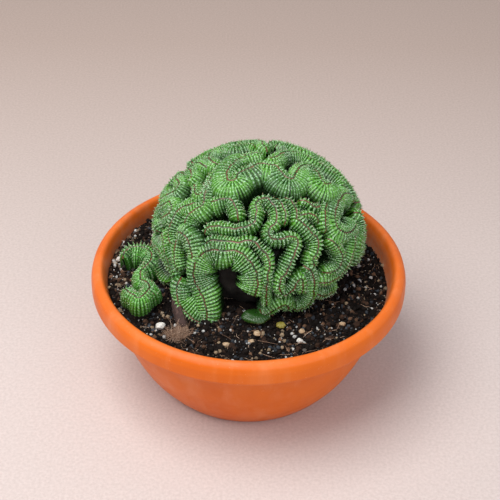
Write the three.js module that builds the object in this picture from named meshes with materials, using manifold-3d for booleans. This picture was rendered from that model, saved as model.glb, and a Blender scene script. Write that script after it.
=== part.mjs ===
// Crested euphorbia in a terracotta-coloured plastic bowl.
// Millimetres, +Z up. The origin is the centre of the bowl's foot, on the surface it stands on.
// -Y is the front. Each crest is one fan of the plant: a thick sheet that grows out of the old
// stem and ends in a long winding ridge.
import * as THREE from "three";
import { ConvexGeometry } from "three/addons/geometries/ConvexGeometry.js";
import { mergeVertices } from "three/addons/utils/BufferGeometryUtils.js";
import Module from "manifold-3d";

const wasm = await Module();
wasm.setup();

// ---- Driving dimensions -------------------------------------------------------------------

const GAP = 0.3; // clearance between pieces that touch
const FINEST_DETAIL = 0.1; // slivers thinner than this are smoothed away
const MERGE = 0.002; // corners closer than this are one corner

// Bowl
const BOWL_RIM_HEIGHT = 96.5; // top of the rolled rim
const BOWL_OUTER_RADIUS = 115.3; // outside of the turned-down lip
const BOWL_WALL = 2.5;
const BOWL_FOOT_RADIUS = 69;
const BOWL_FOOT_WIDTH = 7;
const BOWL_FOOT_HEIGHT = 3; // how far the floor stands above the ground
const FOOT_CHAMFER = 2; // how much the foot ring widens towards the floor
const FLOOR_CORNER = 3; // height of the rounded corner between floor and wall
const RIM_WIDTH = 8.8; // from the outside of the wall's top to the outside of the lip
const RIM_SHOULDER = 6; // how far below the rim's top the wall and the lip begin to roll over
const RIM_LEAN = 0.6; // how far the wall and the lip lean towards each other there
const UNDER_RIM = 1; // extra thickness at the top of the rim
const LIP_DROP = 15.5; // how far the lip turns down below the rim's top
const DRAIN_RADIUS = 5;
const DRAIN_RING_RADIUS = 38;
const DRAIN_COUNT = 6;
const DRAIN_SIDES = 16;
const BOWL_SIDES = 48;
const WALL_STEPS = 8; // facets from the foot to the rim
// Outside of the wall: share of the way out from foot to neck, share of the way up to the lip.
const WALL_FLARE = [[0, 0], [0.187, 0.105], [0.416, 0.272], [0.648, 0.519], [0.8, 0.765], [0.973, 1]];
// Outside of the rim, from lip to wall: how far in from the lip, how far below the rim's top.
const RIM_ROLL = [[0.3, 7], [1.6, 2.6], [4.3, 0.4], [6.8, 0], [8.4, 1.4]];

// Potting soil
const SOIL_DROP = 10.5; // how far below the rim it lies, at the bowl's axis
const SOIL_FALL = 4.5; // how much lower it is at the wall
const SOIL_TILT = 0.03; // rise per millimetre towards -X
const SOIL_EDGE = 1; // least depth of its upright edge at the wall
const SOIL_CORNER = 2; // how far its flat bottom ends from the wall, clear of the floor's corner
const SOIL_RINGS = [1, 0.66, 0.33]; // radii of the rings of its top, as shares of its radius

// Crown: the egg-shaped outline that the ridges of the crests follow
const CROWN_OFF_X = 7; // its middle, from the bowl's axis
const CROWN_OFF_Y = 16;
const CROWN_LIFT = 26; // its middle, above the soil
const CROWN_SIDE_ROOM = 16.5; // from its right side to the bowl's wall
const CROWN_BACK_ROOM = 9.5; // from its back to the bowl's wall
const CROWN_HEIGHT = 62.5; // from its middle to its top
const STEM_DEPTH = 17; // how far the old stem lies under the crown's outline
const CREST_ROOT = 4; // how far a crest reaches into the stem
const CREST_SHOULDER = 6; // how far below its ridge a crest reaches its full width
const CREST_STEP = 8.5; // spacing of the sections along a ridge
const SEGMENT_LAP = 0.03; // how far each segment of a crest runs into the next
const END_TAPER = 0.4; // how much narrower a crest is at its ends

// Offset: the young crest on the left of the crown
const OFFSET_LIFT = 18; // its ridge above the soil
const OFFSET_LEFT = 7; // from ridge to foot, sideways
const OFFSET_RIGHT = 9;
const OFFSET_DEEP = 60; // the point that its sides lean towards, below its ridge

const STONE_LIFT = 0.25; // how far a stone's middle lies above the soil, as a share of its height

// ---- Solids -------------------------------------------------------------------------------

// A three.js geometry as a solid that can be joined and cut.
function solidOf(geometry) {
  const bare = geometry.clone();
  bare.deleteAttribute("normal");
  bare.deleteAttribute("uv");
  const merged = mergeVertices(bare, MERGE);
  return new wasm.Manifold(
    new wasm.Mesh({
      numProp: 3,
      vertProperties: merged.attributes.position.array,
      triVerts: new Uint32Array(merged.index.array),
    }),
  );
}

// Of a solid that a cut has left in several bits, the largest one.
function largestBit(solid) {
  return solid.decompose().sort((a, b) => b.volume() - a.volume())[0];
}

// A solid's surface as a three.js geometry.
function surfaceOf(solid) {
  const mesh = solid.getMesh();
  const geometry = new THREE.BufferGeometry();
  geometry.setAttribute("position", new THREE.BufferAttribute(mesh.vertProperties, 3));
  geometry.setIndex(new THREE.BufferAttribute(mesh.triVerts, 1));
  return geometry;
}

// The finished geometry of a piece: one body, without crumbs and without slivers.
function geometryOf(solid) {
  const trimmed = solidOf(surfaceOf(largestBit(solid))).simplify(FINEST_DETAIL);
  const geometry = surfaceOf(largestBit(solidOf(surfaceOf(trimmed))));
  geometry.computeVertexNormals();
  return geometry;
}

const group = new THREE.Group();

function addPiece(name, geometry, material) {
  const mesh = new THREE.Mesh(geometry, material);
  mesh.name = name;
  group.add(mesh);
  return mesh;
}

function finish(color, roughness, metalness = 0) {
  return new THREE.MeshStandardMaterial({ color, roughness, metalness });
}

// ---- Bowl ---------------------------------------------------------------------------------

const FLOOR_TOP = BOWL_FOOT_HEIGHT + BOWL_WALL;
const LIP_BOTTOM = BOWL_RIM_HEIGHT - LIP_DROP;
const BOWL_NECK_RADIUS = BOWL_OUTER_RADIUS - RIM_WIDTH;

// Outside of the wall from the foot to the rim: a flaring curve, radius against height.
const wallCurve = new THREE.CatmullRomCurve3([
  ...WALL_FLARE.map(([out, up]) => {
    const radius = BOWL_FOOT_RADIUS + out * (BOWL_NECK_RADIUS - BOWL_FOOT_RADIUS);
    return new THREE.Vector3(radius, 0, up * LIP_BOTTOM);
  }),
  new THREE.Vector3(BOWL_NECK_RADIUS + RIM_LEAN, 0, BOWL_RIM_HEIGHT - RIM_SHOULDER),
]);
const wallPoints = wallCurve.getSpacedPoints(WALL_STEPS);

// Radius of the wall's inside at a height, between the points above and below it.
function insideRadius(height) {
  const above = wallPoints.findIndex((p) => p.z >= height);
  const low = wallPoints[above - 1];
  const high = wallPoints[above];
  const share = (height - low.z) / (high.z - low.z);
  return low.x + share * (high.x - low.x) - BOWL_WALL;
}

function bowlProfile() {
  const outside = wallPoints.map((p) => new THREE.Vector2(p.x, p.z));
  const inside = wallPoints
    .filter((p) => p.z > FLOOR_TOP + FLOOR_CORNER)
    .map((p) => new THREE.Vector2(p.x - BOWL_WALL, p.z))
    .reverse();
  const rimMiddle = (BOWL_NECK_RADIUS + BOWL_OUTER_RADIUS) / 2;
  const lipInside = BOWL_OUTER_RADIUS - BOWL_WALL;
  return [
    new THREE.Vector2(0, BOWL_FOOT_HEIGHT),
    new THREE.Vector2(BOWL_FOOT_RADIUS - BOWL_FOOT_WIDTH - FOOT_CHAMFER, BOWL_FOOT_HEIGHT),
    new THREE.Vector2(BOWL_FOOT_RADIUS - BOWL_FOOT_WIDTH, 0),
    ...outside,
    new THREE.Vector2(rimMiddle, BOWL_RIM_HEIGHT - BOWL_WALL - UNDER_RIM),
    new THREE.Vector2(lipInside - RIM_LEAN, BOWL_RIM_HEIGHT - RIM_SHOULDER),
    new THREE.Vector2(lipInside, LIP_BOTTOM),
    new THREE.Vector2(BOWL_OUTER_RADIUS, LIP_BOTTOM),
    ...RIM_ROLL.map(([inwards, below]) => {
      return new THREE.Vector2(BOWL_OUTER_RADIUS - inwards, BOWL_RIM_HEIGHT - below);
    }),
    ...inside,
    new THREE.Vector2(BOWL_FOOT_RADIUS - BOWL_WALL, FLOOR_TOP),
    new THREE.Vector2(0, FLOOR_TOP),
  ];
}

// Turns a profile of (radius, height) round the Z axis.
function turned(profile, sides) {
  return new THREE.LatheGeometry(profile, sides).rotateX(Math.PI / 2);
}

function bowlGeometry() {
  let bowl = solidOf(turned(bowlProfile(), BOWL_SIDES));
  for (let i = 0; i < DRAIN_COUNT; i += 1) {
    const turn = (i / DRAIN_COUNT) * 2 * Math.PI;
    const hole = new THREE.CylinderGeometry(DRAIN_RADIUS, DRAIN_RADIUS, 4 * BOWL_WALL, DRAIN_SIDES)
      .rotateX(Math.PI / 2)
      .translate(DRAIN_RING_RADIUS * Math.cos(turn), DRAIN_RING_RADIUS * Math.sin(turn), FLOOR_TOP);
    bowl = bowl.subtract(solidOf(hole));
  }
  return geometryOf(bowl);
}

addPiece("bowl", bowlGeometry(), finish(0xd96a38, 0.55));

// ---- Potting soil -------------------------------------------------------------------------

const SOIL_HEIGHT = BOWL_RIM_HEIGHT - SOIL_DROP;
const SOIL_LOWEST = SOIL_HEIGHT - SOIL_FALL - SOIL_TILT * BOWL_NECK_RADIUS;
const SOIL_RADIUS = insideRadius(SOIL_LOWEST) - GAP;

// Soil height at a place in the bowl: it falls a little towards the wall and leans to one side.
function soilHeight(x, y) {
  const out = Math.hypot(x, y) / BOWL_NECK_RADIUS;
  return SOIL_HEIGHT - SOIL_FALL * out * out - SOIL_TILT * x;
}

// The soil fills the bowl to its wall. "swell" makes the fattened copy that cuts what stands on it.
function soilSolid(swell) {
  const side = wallPoints
    .filter((p) => p.z > FLOOR_TOP + FLOOR_CORNER && p.z < SOIL_LOWEST - SOIL_EDGE)
    .map((p) => new THREE.Vector2(p.x - BOWL_WALL - GAP, p.z));
  const geometry = turned(
    [
      new THREE.Vector2(0, FLOOR_TOP + GAP),
      new THREE.Vector2(BOWL_FOOT_RADIUS - BOWL_WALL - SOIL_CORNER, FLOOR_TOP + GAP),
      ...side,
      ...SOIL_RINGS.map((share) => new THREE.Vector2(SOIL_RADIUS * share, SOIL_HEIGHT)),
      new THREE.Vector2(0, SOIL_HEIGHT),
    ],
    BOWL_SIDES,
  );
  const place = geometry.attributes.position;
  for (let i = 0; i < place.count; i += 1) {
    if (place.getZ(i) > SOIL_LOWEST) {
      place.setZ(i, soilHeight(place.getX(i), place.getY(i)) + swell);
    }
  }
  return solidOf(geometry);
}

// A place on the soil, given in hundredths of the soil's radius.
function soilPlace(x, y) {
  return [(x * SOIL_RADIUS) / 100, (y * SOIL_RADIUS) / 100];
}

const soil = soilSolid(0);
const soilCutter = soilSolid(GAP);
addPiece("potting_soil", geometryOf(soil), finish(0x3a2c24, 0.95));

// ---- Crown --------------------------------------------------------------------------------

const CROWN_CENTRE = new THREE.Vector3(CROWN_OFF_X, CROWN_OFF_Y, SOIL_HEIGHT + CROWN_LIFT);
const CROWN_RADII = new THREE.Vector3(
  SOIL_RADIUS - CROWN_OFF_X - CROWN_SIDE_ROOM,
  SOIL_RADIUS - CROWN_OFF_Y - CROWN_BACK_ROOM,
  CROWN_HEIGHT,
);
const CREST_DEPTH = STEM_DEPTH + CREST_ROOT; // from a crest's ridge to its root

// A place on the crown: "east" and "north" are degrees of arc from its top, towards +X and +Y,
// and "proud" is how far the place stands out from the outline.
function crownPlace(east, north, proud) {
  const arc = THREE.MathUtils.degToRad(Math.hypot(east, north));
  const heading = Math.atan2(east, north);
  const out = new THREE.Vector3(
    Math.sin(arc) * Math.sin(heading),
    Math.sin(arc) * Math.cos(heading),
    Math.cos(arc),
  );
  const point = out.clone().multiply(CROWN_RADII).add(CROWN_CENTRE);
  const normal = out.clone().divide(CROWN_RADII).normalize();
  return point.addScaledVector(normal, proud);
}

// Direction out of the crown at a point near its outline.
function crownNormal(point) {
  return point
    .clone()
    .sub(CROWN_CENTRE)
    .divide(CROWN_RADII)
    .divide(CROWN_RADII)
    .normalize();
}

// Section of a crest, across its ridge: a blade with a blunt top. x is sideways, y is outwards.
// "swell" grows it on every side.
function bladeSection(left, right, swell) {
  return [
    [-left - swell, -CREST_DEPTH - swell],
    [-left - swell, -CREST_SHOULDER],
    [0, 1.5 * swell],
    [right + swell, -CREST_SHOULDER],
    [right + swell, -CREST_DEPTH - swell],
  ];
}

// A crest as a row of convex segments between sections along its ridge, each lapping the next.
// It narrows at its two ends. The fattened copy, with a swell, is what cuts its neighbours.
function bladeSolid(ridge, outwardAt, left, right, swell) {
  const count = Math.max(3, Math.ceil(ridge.getLength() / CREST_STEP));
  const lap = SEGMENT_LAP + swell;
  function sectionAt(step, shift) {
    const at = step / count;
    const point = ridge.getPointAt(at);
    const ahead = ridge.getTangentAt(at);
    const out = outwardAt(point);
    const side = new THREE.Vector3().crossVectors(ahead, out).normalize();
    const slim = 1 - END_TAPER * Math.pow(Math.abs(2 * at - 1), 6);
    point.addScaledVector(ahead, shift);
    return bladeSection(left * slim, right * slim, swell).map(([x, y]) =>
      point.clone().addScaledVector(side, x).addScaledVector(out, y),
    );
  }
  const segments = [];
  for (let step = 0; step < count; step += 1) {
    const start = [...sectionAt(step, -lap), ...sectionAt(step, 0)];
    const corners = [...start, ...sectionAt(step + 1, 0), ...sectionAt(step + 1, lap)];
    segments.push(solidOf(new ConvexGeometry(corners)));
  }
  return wasm.Manifold.union(segments);
}

// The old woody stem that the crests have grown out of: the crown's outline, shrunk.
function stemSolid(swell) {
  const geometry = new THREE.SphereGeometry(1, 20, 12);
  geometry.rotateX(Math.PI / 2);
  geometry.scale(
    CROWN_RADII.x - STEM_DEPTH + swell,
    CROWN_RADII.y - STEM_DEPTH + swell,
    CROWN_RADII.z - STEM_DEPTH + swell,
  );
  geometry.translate(CROWN_CENTRE.x, CROWN_CENTRE.y, CROWN_CENTRE.z);
  return solidOf(geometry);
}

addPiece("woody_stem", geometryOf(stemSolid(0).subtract(soilCutter)), finish(0x4a3a26, 0.9));

// A ridge that winds round the crown: its distance from the top swings in and out, now more and
// now less, while its heading goes from one side to the other and leans with the swing.
function windingRidge({ from, to, distance, swing, bends, lean }) {
  const count = bends * 8;
  return Array.from({ length: count + 1 }, (_, i) => {
    const phase = (i / count) * bends * 2 * Math.PI;
    const straight = from + ((to - from) * i) / count;
    const heading = straight + lean * Math.sin(2 * phase) + lean * Math.sin(0.6 * phase);
    const reach = swing * (1 + 0.25 * Math.sin(0.7 * phase + 1));
    const arc = distance + reach * Math.sin(phase) + 0.35 * swing * Math.sin(0.45 * phase);
    const turn = THREE.MathUtils.degToRad(heading);
    return [arc * Math.sin(turn), arc * Math.cos(turn)];
  });
}

// Ridges of the crests, as [east, north, proud] in degrees, degrees and millimetres. "left" and
// "right" are the widths of the two flanks, seen walking along the ridge. A crest is cut back
// where it meets one that stands before it in this list.
const CRESTS = [
  {
    name: "crest_gate",
    left: 16,
    right: 6,
    ridge: [
      [-4, -92], [-1, -84], [-1, -77], [-2, -72], [-6, -66], [-11, -61], [-16, -59],
      [-22, -59], [-27, -57], [-32, -57], [-37, -58], [-42, -61], [-46, -65], [-49, -70],
      [-50, -77], [-49, -83], [-48, -90, 2], [-47, -96, 7],
    ],
  },
  {
    name: "crest_front_lobe",
    left: 5,
    right: 12,
    ridge: [
      [-46, -100, 9], [-51, -96, 13], [-57, -91, 13], [-62, -86, 12], [-65, -81, 11],
      [-66, -77, 10], [-66, -73, 7], [-66, -69, 4], [-63, -66, 0],
    ],
  },
  {
    name: "crest_winding",
    left: 5,
    right: 5.5,
    ridge: [
      [-34, -47], [-31, -44], [-26, -43], [-21, -45], [-17, -46], [-12, -47], [-8, -46],
      [-4, -45], [-2, -41], [-2, -36], [-2, -32], [0, -30], [2, -29], [4, -29], [6, -32],
      [8, -34], [9, -38], [9, -42], [8, -45], [5, -47], [5, -50], [7, -53], [10, -53],
      [14, -52], [17, -50], [20, -50], [22, -51], [23, -54], [22, -58], [21, -62], [20, -66],
      [19, -70], [17, -74], [15, -77], [15, -81], [16, -85], [19, -88], [23, -87], [26, -84],
      [27, -80], [28, -76], [30, -74], [32, -76], [34, -81], [35, -88],
    ],
  },
  {
    name: "crest_middle",
    left: 4.5,
    right: 4.5,
    ridge: [
      [-35, -52], [-32, -52], [-29, -51], [-25, -52], [-21, -53], [-16, -54], [-12, -55],
      [-7, -54], [-4, -54], [-1, -57], [2, -60], [5, -63], [7, -68], [6, -73], [6, -78],
      [6, -84], [6, -90], [7, -96], [8, -103],
    ],
  },
  {
    name: "crest_arch",
    left: 5,
    right: 8,
    ridge: [
      [-29, -28], [-25, -28], [-20, -28], [-17, -28], [-14, -31], [-13, -34], [-12, -38],
      [-12, -42],
    ],
  },
  {
    name: "crest_long_left",
    left: 7,
    right: 6,
    ridge: [
      [2, 8], [-5, 5], [-10, 3], [-16, 0], [-20, -3], [-25, -9], [-27, -13], [-29, -18],
      [-30, -23], [-31, -28], [-37, -30], [-41, -31], [-44, -34], [-46, -38],
    ],
  },
  {
    name: "crest_fold_inner",
    left: 3,
    right: 3,
    ridge: [[8, -27], [12, -33], [14, -38], [14, -44]],
  },
  {
    name: "crest_fold_outer",
    left: 3,
    right: 4,
    ridge: [[12, -26], [17, -30], [20, -35], [20, -42]],
  },
  {
    name: "crest_fold_third",
    left: 3,
    right: 3,
    ridge: [[20, -27], [25, -27], [29, -29], [33, -28], [35, -24]],
  },
  {
    name: "crest_fold_fourth",
    left: 3,
    right: 3,
    ridge: [[20, -37], [24, -36], [28, -34], [32, -35], [35, -38]],
  },
  {
    name: "crest_fold_side",
    left: 3,
    right: 4,
    ridge: [[38, -20], [37, -28], [38, -36], [41, -42]],
  },
  {
    name: "crest_red_tip",
    left: 4,
    right: 4,
    ridge: [[-95, -27, 3], [-97, -36, 5], [-96, -47, 5], [-91, -58, 4]],
  },
  {
    name: "crest_brow",
    left: 6,
    right: 16,
    ridge: [
      [-6, 1, 1], [-10, -1, 2], [-13, -5, 3], [-16, -10, 3], [-17, -15, 3], [-15, -19, 3],
      [-12, -18, 3], [-11, -14, 3], [-7, -12, 3], [-4, -10, 3], [0, -7, 3], [3, -8, 3],
      [7, -8, 3], [9, -10, 3], [11, -14, 3], [14, -17, 3], [17, -15, 3], [18, -11, 3],
      [20, -6, 3], [24, -2, 3], [27, -2, 3], [29, -4, 3], [31, -8, 3], [33, -12, 3],
      [36, -12, 3], [38, -9, 2], [38, -4, 1],
    ],
  },
  {
    name: "crest_top",
    left: 7,
    right: 6,
    ridge: [
      [2, 3], [6, 1], [9, 4], [12, 9], [18, 13], [24, 14], [28, 12], [32, 11], [36, 10],
      [40, 9], [44, 8], [49, 6], [53, 2],
    ],
  },
  {
    name: "crest_ring",
    left: 5,
    right: 9,
    ridge: [
      [59, 1], [51, -6], [47, -14], [45, -20], [44, -27], [45, -33], [49, -36], [55, -35],
      [60, -31], [63, -25], [64, -18],
    ],
  },
  {
    name: "crest_spiral_right",
    left: 6,
    right: 6,
    ridge: [
      [30, -66], [36, -68], [40, -72], [43, -77], [46, -82], [48, -87], [48, -93], [43, -99],
      [34, -102],
    ],
  },
  {
    name: "crest_right_inner",
    left: 6,
    right: 6,
    ridge: [
      [18, -38], [24, -41], [30, -45], [34, -47], [36, -50], [37, -54], [35, -60], [36, -63],
      [40, -66],
    ],
  },
  {
    name: "crest_right_hook",
    left: 7,
    right: 4,
    ridge: [[43, -44], [49, -46], [55, -48], [59, -51], [60, -56], [58, -60], [53, -64], [48, -67]],
  },
  {
    name: "crest_right_edge",
    left: 5,
    right: 6,
    ridge: [
      [63, -27], [67, -33], [69, -40], [70, -47], [69, -54], [66, -61], [61, -67], [55, -71],
      [49, -73], [46, -76],
    ],
  },
  {
    name: "crest_right_foot",
    left: 6,
    right: 6,
    ridge: [[50, -83], [57, -82], [64, -79], [70, -73], [75, -66]],
  },
  {
    name: "crest_left_thick",
    left: 8,
    right: 8,
    ridge: [[-52, -37, 2], [-47, -41, 4], [-43, -45, 4], [-42, -51, 3], [-43, -57, 2], [-46, -62]],
  },
  {
    name: "crest_left_brow",
    left: 7,
    right: 8,
    ridge: [
      [-35, -24], [-39, -25], [-45, -24], [-50, -25], [-55, -29], [-59, -33], [-61, -38],
      [-60, -44],
    ],
  },
  {
    name: "crest_left_edge",
    left: 5,
    right: 7,
    ridge: [[-52, -40], [-56, -45], [-60, -50], [-63, -57], [-64, -63]],
  },
  {
    name: "crest_left_fold",
    left: 5,
    right: 6,
    ridge: [[-22, -10], [-26, -15], [-30, -18], [-33, -21], [-36, -18], [-36, -12], [-39, -9]],
  },
  {
    name: "crest_top_left",
    left: 7,
    right: 7,
    ridge: [
      [-2, 19], [-7, 21], [-14, 18], [-20, 24], [-25, 23], [-28, 17], [-28, 9], [-25, 3],
      [-22, 1],
    ],
  },
  {
    name: "crest_shoulder",
    left: 6,
    right: 7,
    ridge: [[-29, 1], [-33, 7], [-37, 12], [-41, 10], [-39, 3], [-38, -3], [-43, -5]],
  },
  {
    name: "crest_shoulder_low",
    left: 6,
    right: 6,
    ridge: [
      [-46, 13], [-51, 13], [-50, 5], [-47, -1], [-49, -7], [-55, -5], [-61, -2], [-66, 2],
      [-65, 9], [-61, 13],
    ],
  },
  {
    name: "crest_left_loop",
    left: 5,
    right: 6,
    ridge: [
      [-68, -18], [-62, -20], [-56, -22], [-53, -18], [-56, -12], [-63, -9], [-70, -5],
      [-76, -2], [-79, -8], [-77, -15], [-76, -22],
    ],
  },
  {
    name: "crest_left_foot",
    left: 6,
    right: 7,
    ridge: [[-88, -10], [-88, -19], [-84, -27], [-79, -35], [-76, -43], [-76, -51], [-79, -58]],
  },
  {
    name: "crest_left_base",
    left: 6,
    right: 6,
    ridge: [[-68, -26], [-67, -34], [-70, -41], [-70, -50], [-73, -57], [-75, -64]],
  },
  {
    name: "crest_front_foot",
    left: 6,
    right: 6,
    ridge: [[1, -107], [7, -109], [13, -104], [20, -98], [25, -96], [29, -100], [27, -106]],
  },
  {
    name: "crest_top_right",
    left: 6,
    right: 6,
    ridge: [
      [8, 25], [14, 29], [20, 26], [26, 25], [32, 27], [38, 23], [44, 20], [50, 17], [56, 14],
      [61, 8], [66, 3],
    ],
  },
  {
    name: "crest_right_side",
    left: 7,
    right: 7,
    ridge: [[64, -10], [70, -8], [76, -12], [78, -20], [78, -29], [82, -37], [85, -45]],
  },
  {
    name: "crest_crown",
    left: 6,
    right: 6,
    ridge: [[4, 14], [1, 19], [1, 25], [-3, 30], [-9, 31], [-15, 30]],
  },
  {
    name: "crest_crown_back",
    left: 6,
    right: 6,
    ridge: [[4, 34], [10, 36], [17, 36], [24, 35]],
  },
  {
    name: "crest_back_high",
    left: 5.5,
    right: 5.5,
    ridge: windingRidge({ from: -60, to: 64, distance: 48, swing: 8, bends: 6, lean: 3 }),
  },
  {
    name: "crest_back_middle",
    left: 5.5,
    right: 5.5,
    ridge: windingRidge({ from: 82, to: -84, distance: 70, swing: 8, bends: 9, lean: -2 }),
  },
  {
    name: "crest_back_low",
    left: 5.5,
    right: 5.5,
    ridge: windingRidge({ from: -96, to: 110, distance: 94, swing: 8, bends: 12, lean: 1.5 }),
  },
];

// Ridge of the young crest beside the crown, in hundredths of the soil's radius.
const OFFSET_RIDGE = [
  [-90.4, -2.9], [-85.5, 2.9], [-78.6, 4.9], [-73.7, 1], [-70.7, -5.9], [-70.7, -14.7],
  [-73.7, -21.6], [-75.6, -28.5], [-73.7, -35.4], [-69.7, -40.3], [-70.7, -46.2], [-74.7, -49.1],
  [-79.6, -47.2], [-84.5, -42.2],
];
const OFFSET_MIDDLE = [-77.6, -21.6];

const PLANT_GREENS = [0x4f8a3c, 0x5b9644, 0x477f38, 0x63a04c];
let standing = wasm.Manifold.union(stemSolid(GAP), soilCutter);

// Adds a piece cut back to clear everything that already stands in the bowl.
function addCut(name, solid, fattened, material) {
  addPiece(name, geometryOf(solid.subtract(standing)), material);
  standing = standing.add(fattened);
}

CRESTS.forEach(({ name, left, right, ridge }, i) => {
  const points = ridge.map(([east, north, proud = 0]) => crownPlace(east, north, proud));
  const curve = new THREE.CatmullRomCurve3(points);
  const blade = bladeSolid(curve, crownNormal, left, right, 0);
  const fattened = bladeSolid(curve, crownNormal, left, right, GAP);
  addCut(name, blade, fattened, finish(PLANT_GREENS[i % PLANT_GREENS.length], 0.6));
});

const OFFSET_HEIGHT = SOIL_HEIGHT + OFFSET_LIFT;
const offsetCurve = new THREE.CatmullRomCurve3(
  OFFSET_RIDGE.map(([x, y]) => new THREE.Vector3(...soilPlace(x, y), OFFSET_HEIGHT)),
);
const offsetFoot = new THREE.Vector3(...soilPlace(...OFFSET_MIDDLE), OFFSET_HEIGHT - OFFSET_DEEP);
const offsetOutward = (point) => point.clone().sub(offsetFoot).normalize();
addCut(
  "offset_crest",
  bladeSolid(offsetCurve, offsetOutward, OFFSET_LEFT, OFFSET_RIGHT, 0),
  bladeSolid(offsetCurve, offsetOutward, OFFSET_LEFT, OFFSET_RIGHT, GAP),
  finish(0x6fb24a, 0.6),
);

// ---- Small things round the foot ----------------------------------------------------------

// An egg-shaped lump on the soil, its middle "lift" above the surface. Every place here is in
// hundredths of the soil's radius, and every size is across, along and high in millimetres.
function lumpSolid({ at, lift, size }, swell) {
  const [x, y] = soilPlace(...at);
  const geometry = new THREE.IcosahedronGeometry(1, 1);
  geometry.scale(size[0] / 2 + swell, size[1] / 2 + swell, size[2] / 2 + swell);
  geometry.translate(x, y, soilHeight(x, y) + lift);
  return solidOf(geometry);
}

const LUMPS = [
  {
    name: "smooth_lobe",
    at: [5.4, -53.5],
    lift: 2.5,
    size: [21, 16, 13],
    material: finish(0x2f6a24, 0.35),
  },
  {
    name: "yellow_bud",
    at: [22.6, -58.4],
    lift: 1.5,
    size: [6, 5.5, 5],
    material: finish(0xa9b23e, 0.5),
  },
];

// Root: woody, from under the front lobe down to the soil. "above" is above the soil's level.
const ROOT_SECTIONS = [
  { at: [-50.1, -40.3], above: 11, radius: 3.2 },
  { at: [-49.1, -47.2], above: 7, radius: 3.4 },
  { at: [-46.7, -54], above: 3.5, radius: 3.8 },
  { at: [-44.2, -59.9], above: 0.5, radius: 4.6 },
];

function rootSolid(swell) {
  const rings = ROOT_SECTIONS.map(({ at, above, radius }) => {
    const ring = new THREE.IcosahedronGeometry(radius + swell, 0);
    ring.translate(...soilPlace(...at), SOIL_HEIGHT + above);
    const place = ring.attributes.position;
    return Array.from({ length: place.count }, (_, i) =>
      new THREE.Vector3().fromBufferAttribute(place, i),
    );
  });
  const segments = rings
    .slice(1)
    .map((ring, i) => solidOf(new ConvexGeometry([...ring, ...rings[i]])));
  return wasm.Manifold.union(segments);
}

// Larger stones that lie on the soil.
const STONES = [
  { name: "pumice_front", at: [-59.9, -62.6], size: [7, 6.5, 6], color: 0xe8e4dc },
  { name: "pumice_left_back", at: [-94.8, 11.8], size: [5, 4.5, 4], color: 0xe8e4dc },
  { name: "pumice_left", at: [-90.9, 8.8], size: [5, 4.5, 4], color: 0xdedad2 },
  { name: "pumice_right", at: [35.1, -71.8], size: [5, 4.5, 4], color: 0xe8e4dc },
  { name: "stone_tan_centre", at: [6.4, -66.8], size: [5, 6, 4], color: 0xb49a78 },
  { name: "stone_tan_front", at: [2.4, -74.7], size: [5, 4, 3.6], color: 0xa9906f },
  { name: "stone_tan_left", at: [-14.3, -77.7], size: [6, 4.4, 3.6], color: 0xb8a184 },
  { name: "stone_tan_right", at: [37, -62], size: [4.5, 4.5, 3.6], color: 0xae9776 },
  { name: "stone_grey_right", at: [65, -52.2], size: [5, 4, 3.6], color: 0x8f8a82 },
];

LUMPS.forEach((lump) => {
  addCut(lump.name, lumpSolid(lump, 0), lumpSolid(lump, GAP), lump.material);
});
addCut("woody_root", rootSolid(0), rootSolid(GAP), finish(0x5a4636, 0.85));

const fibreClump = { at: [-47.2, -69.7], lift: 0, size: [22, 14, 8] };
addCut(
  "fibre_clump",
  lumpSolid(fibreClump, 0),
  lumpSolid(fibreClump, GAP),
  finish(0xa58468, 0.95),
);
STONES.forEach((stone) => {
  const lying = { ...stone, lift: stone.size[2] * STONE_LIFT };
  addCut(stone.name, lumpSolid(lying, 0), lumpSolid(lying, GAP), finish(stone.color, 0.9));
});

export default group;
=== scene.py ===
# %% [markdown]
# A crested euphorbia in a plastic bowl
# =====================================
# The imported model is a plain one: a bowl, the soil, an old stem and one blunt blade for each
# crest. This notebook puts the real surfaces round it. Every piece is a surface worked out with
# numpy in millimetres and handed to Blender in metres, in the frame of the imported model. Every
# finish is made of shader nodes, which read places on the object or marks that its mesh carries.

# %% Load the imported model
import math

import bpy
import numpy as np
from mathutils import Matrix, Vector


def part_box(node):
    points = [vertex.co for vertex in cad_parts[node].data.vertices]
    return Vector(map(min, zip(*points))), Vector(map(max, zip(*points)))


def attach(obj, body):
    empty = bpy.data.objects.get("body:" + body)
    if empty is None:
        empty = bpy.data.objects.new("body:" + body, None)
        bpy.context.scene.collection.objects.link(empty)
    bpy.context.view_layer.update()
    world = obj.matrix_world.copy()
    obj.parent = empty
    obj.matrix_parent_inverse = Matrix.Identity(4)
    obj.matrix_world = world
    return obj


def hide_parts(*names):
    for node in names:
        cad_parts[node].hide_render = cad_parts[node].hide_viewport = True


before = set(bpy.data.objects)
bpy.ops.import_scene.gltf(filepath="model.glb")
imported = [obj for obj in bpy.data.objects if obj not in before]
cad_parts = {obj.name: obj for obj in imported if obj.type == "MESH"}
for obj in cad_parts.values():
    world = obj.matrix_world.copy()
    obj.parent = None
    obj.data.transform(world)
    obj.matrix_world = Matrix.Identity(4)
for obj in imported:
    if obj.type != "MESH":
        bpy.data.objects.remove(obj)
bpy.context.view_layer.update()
MM = 0.001

# %% [markdown]
# Sizes
# -----
# The bowl's and the soil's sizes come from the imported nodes. The crown is the egg-shaped outline
# that all the ridges follow; its middle and its three radii are the ones the crests were laid out
# with, so a place on it can be given as degrees of arc from its top.

# %% Sizes, in millimetres


def node_box(name):
    """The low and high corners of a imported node's box, in millimetres."""
    return [np.array(corner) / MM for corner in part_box(name)]


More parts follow.
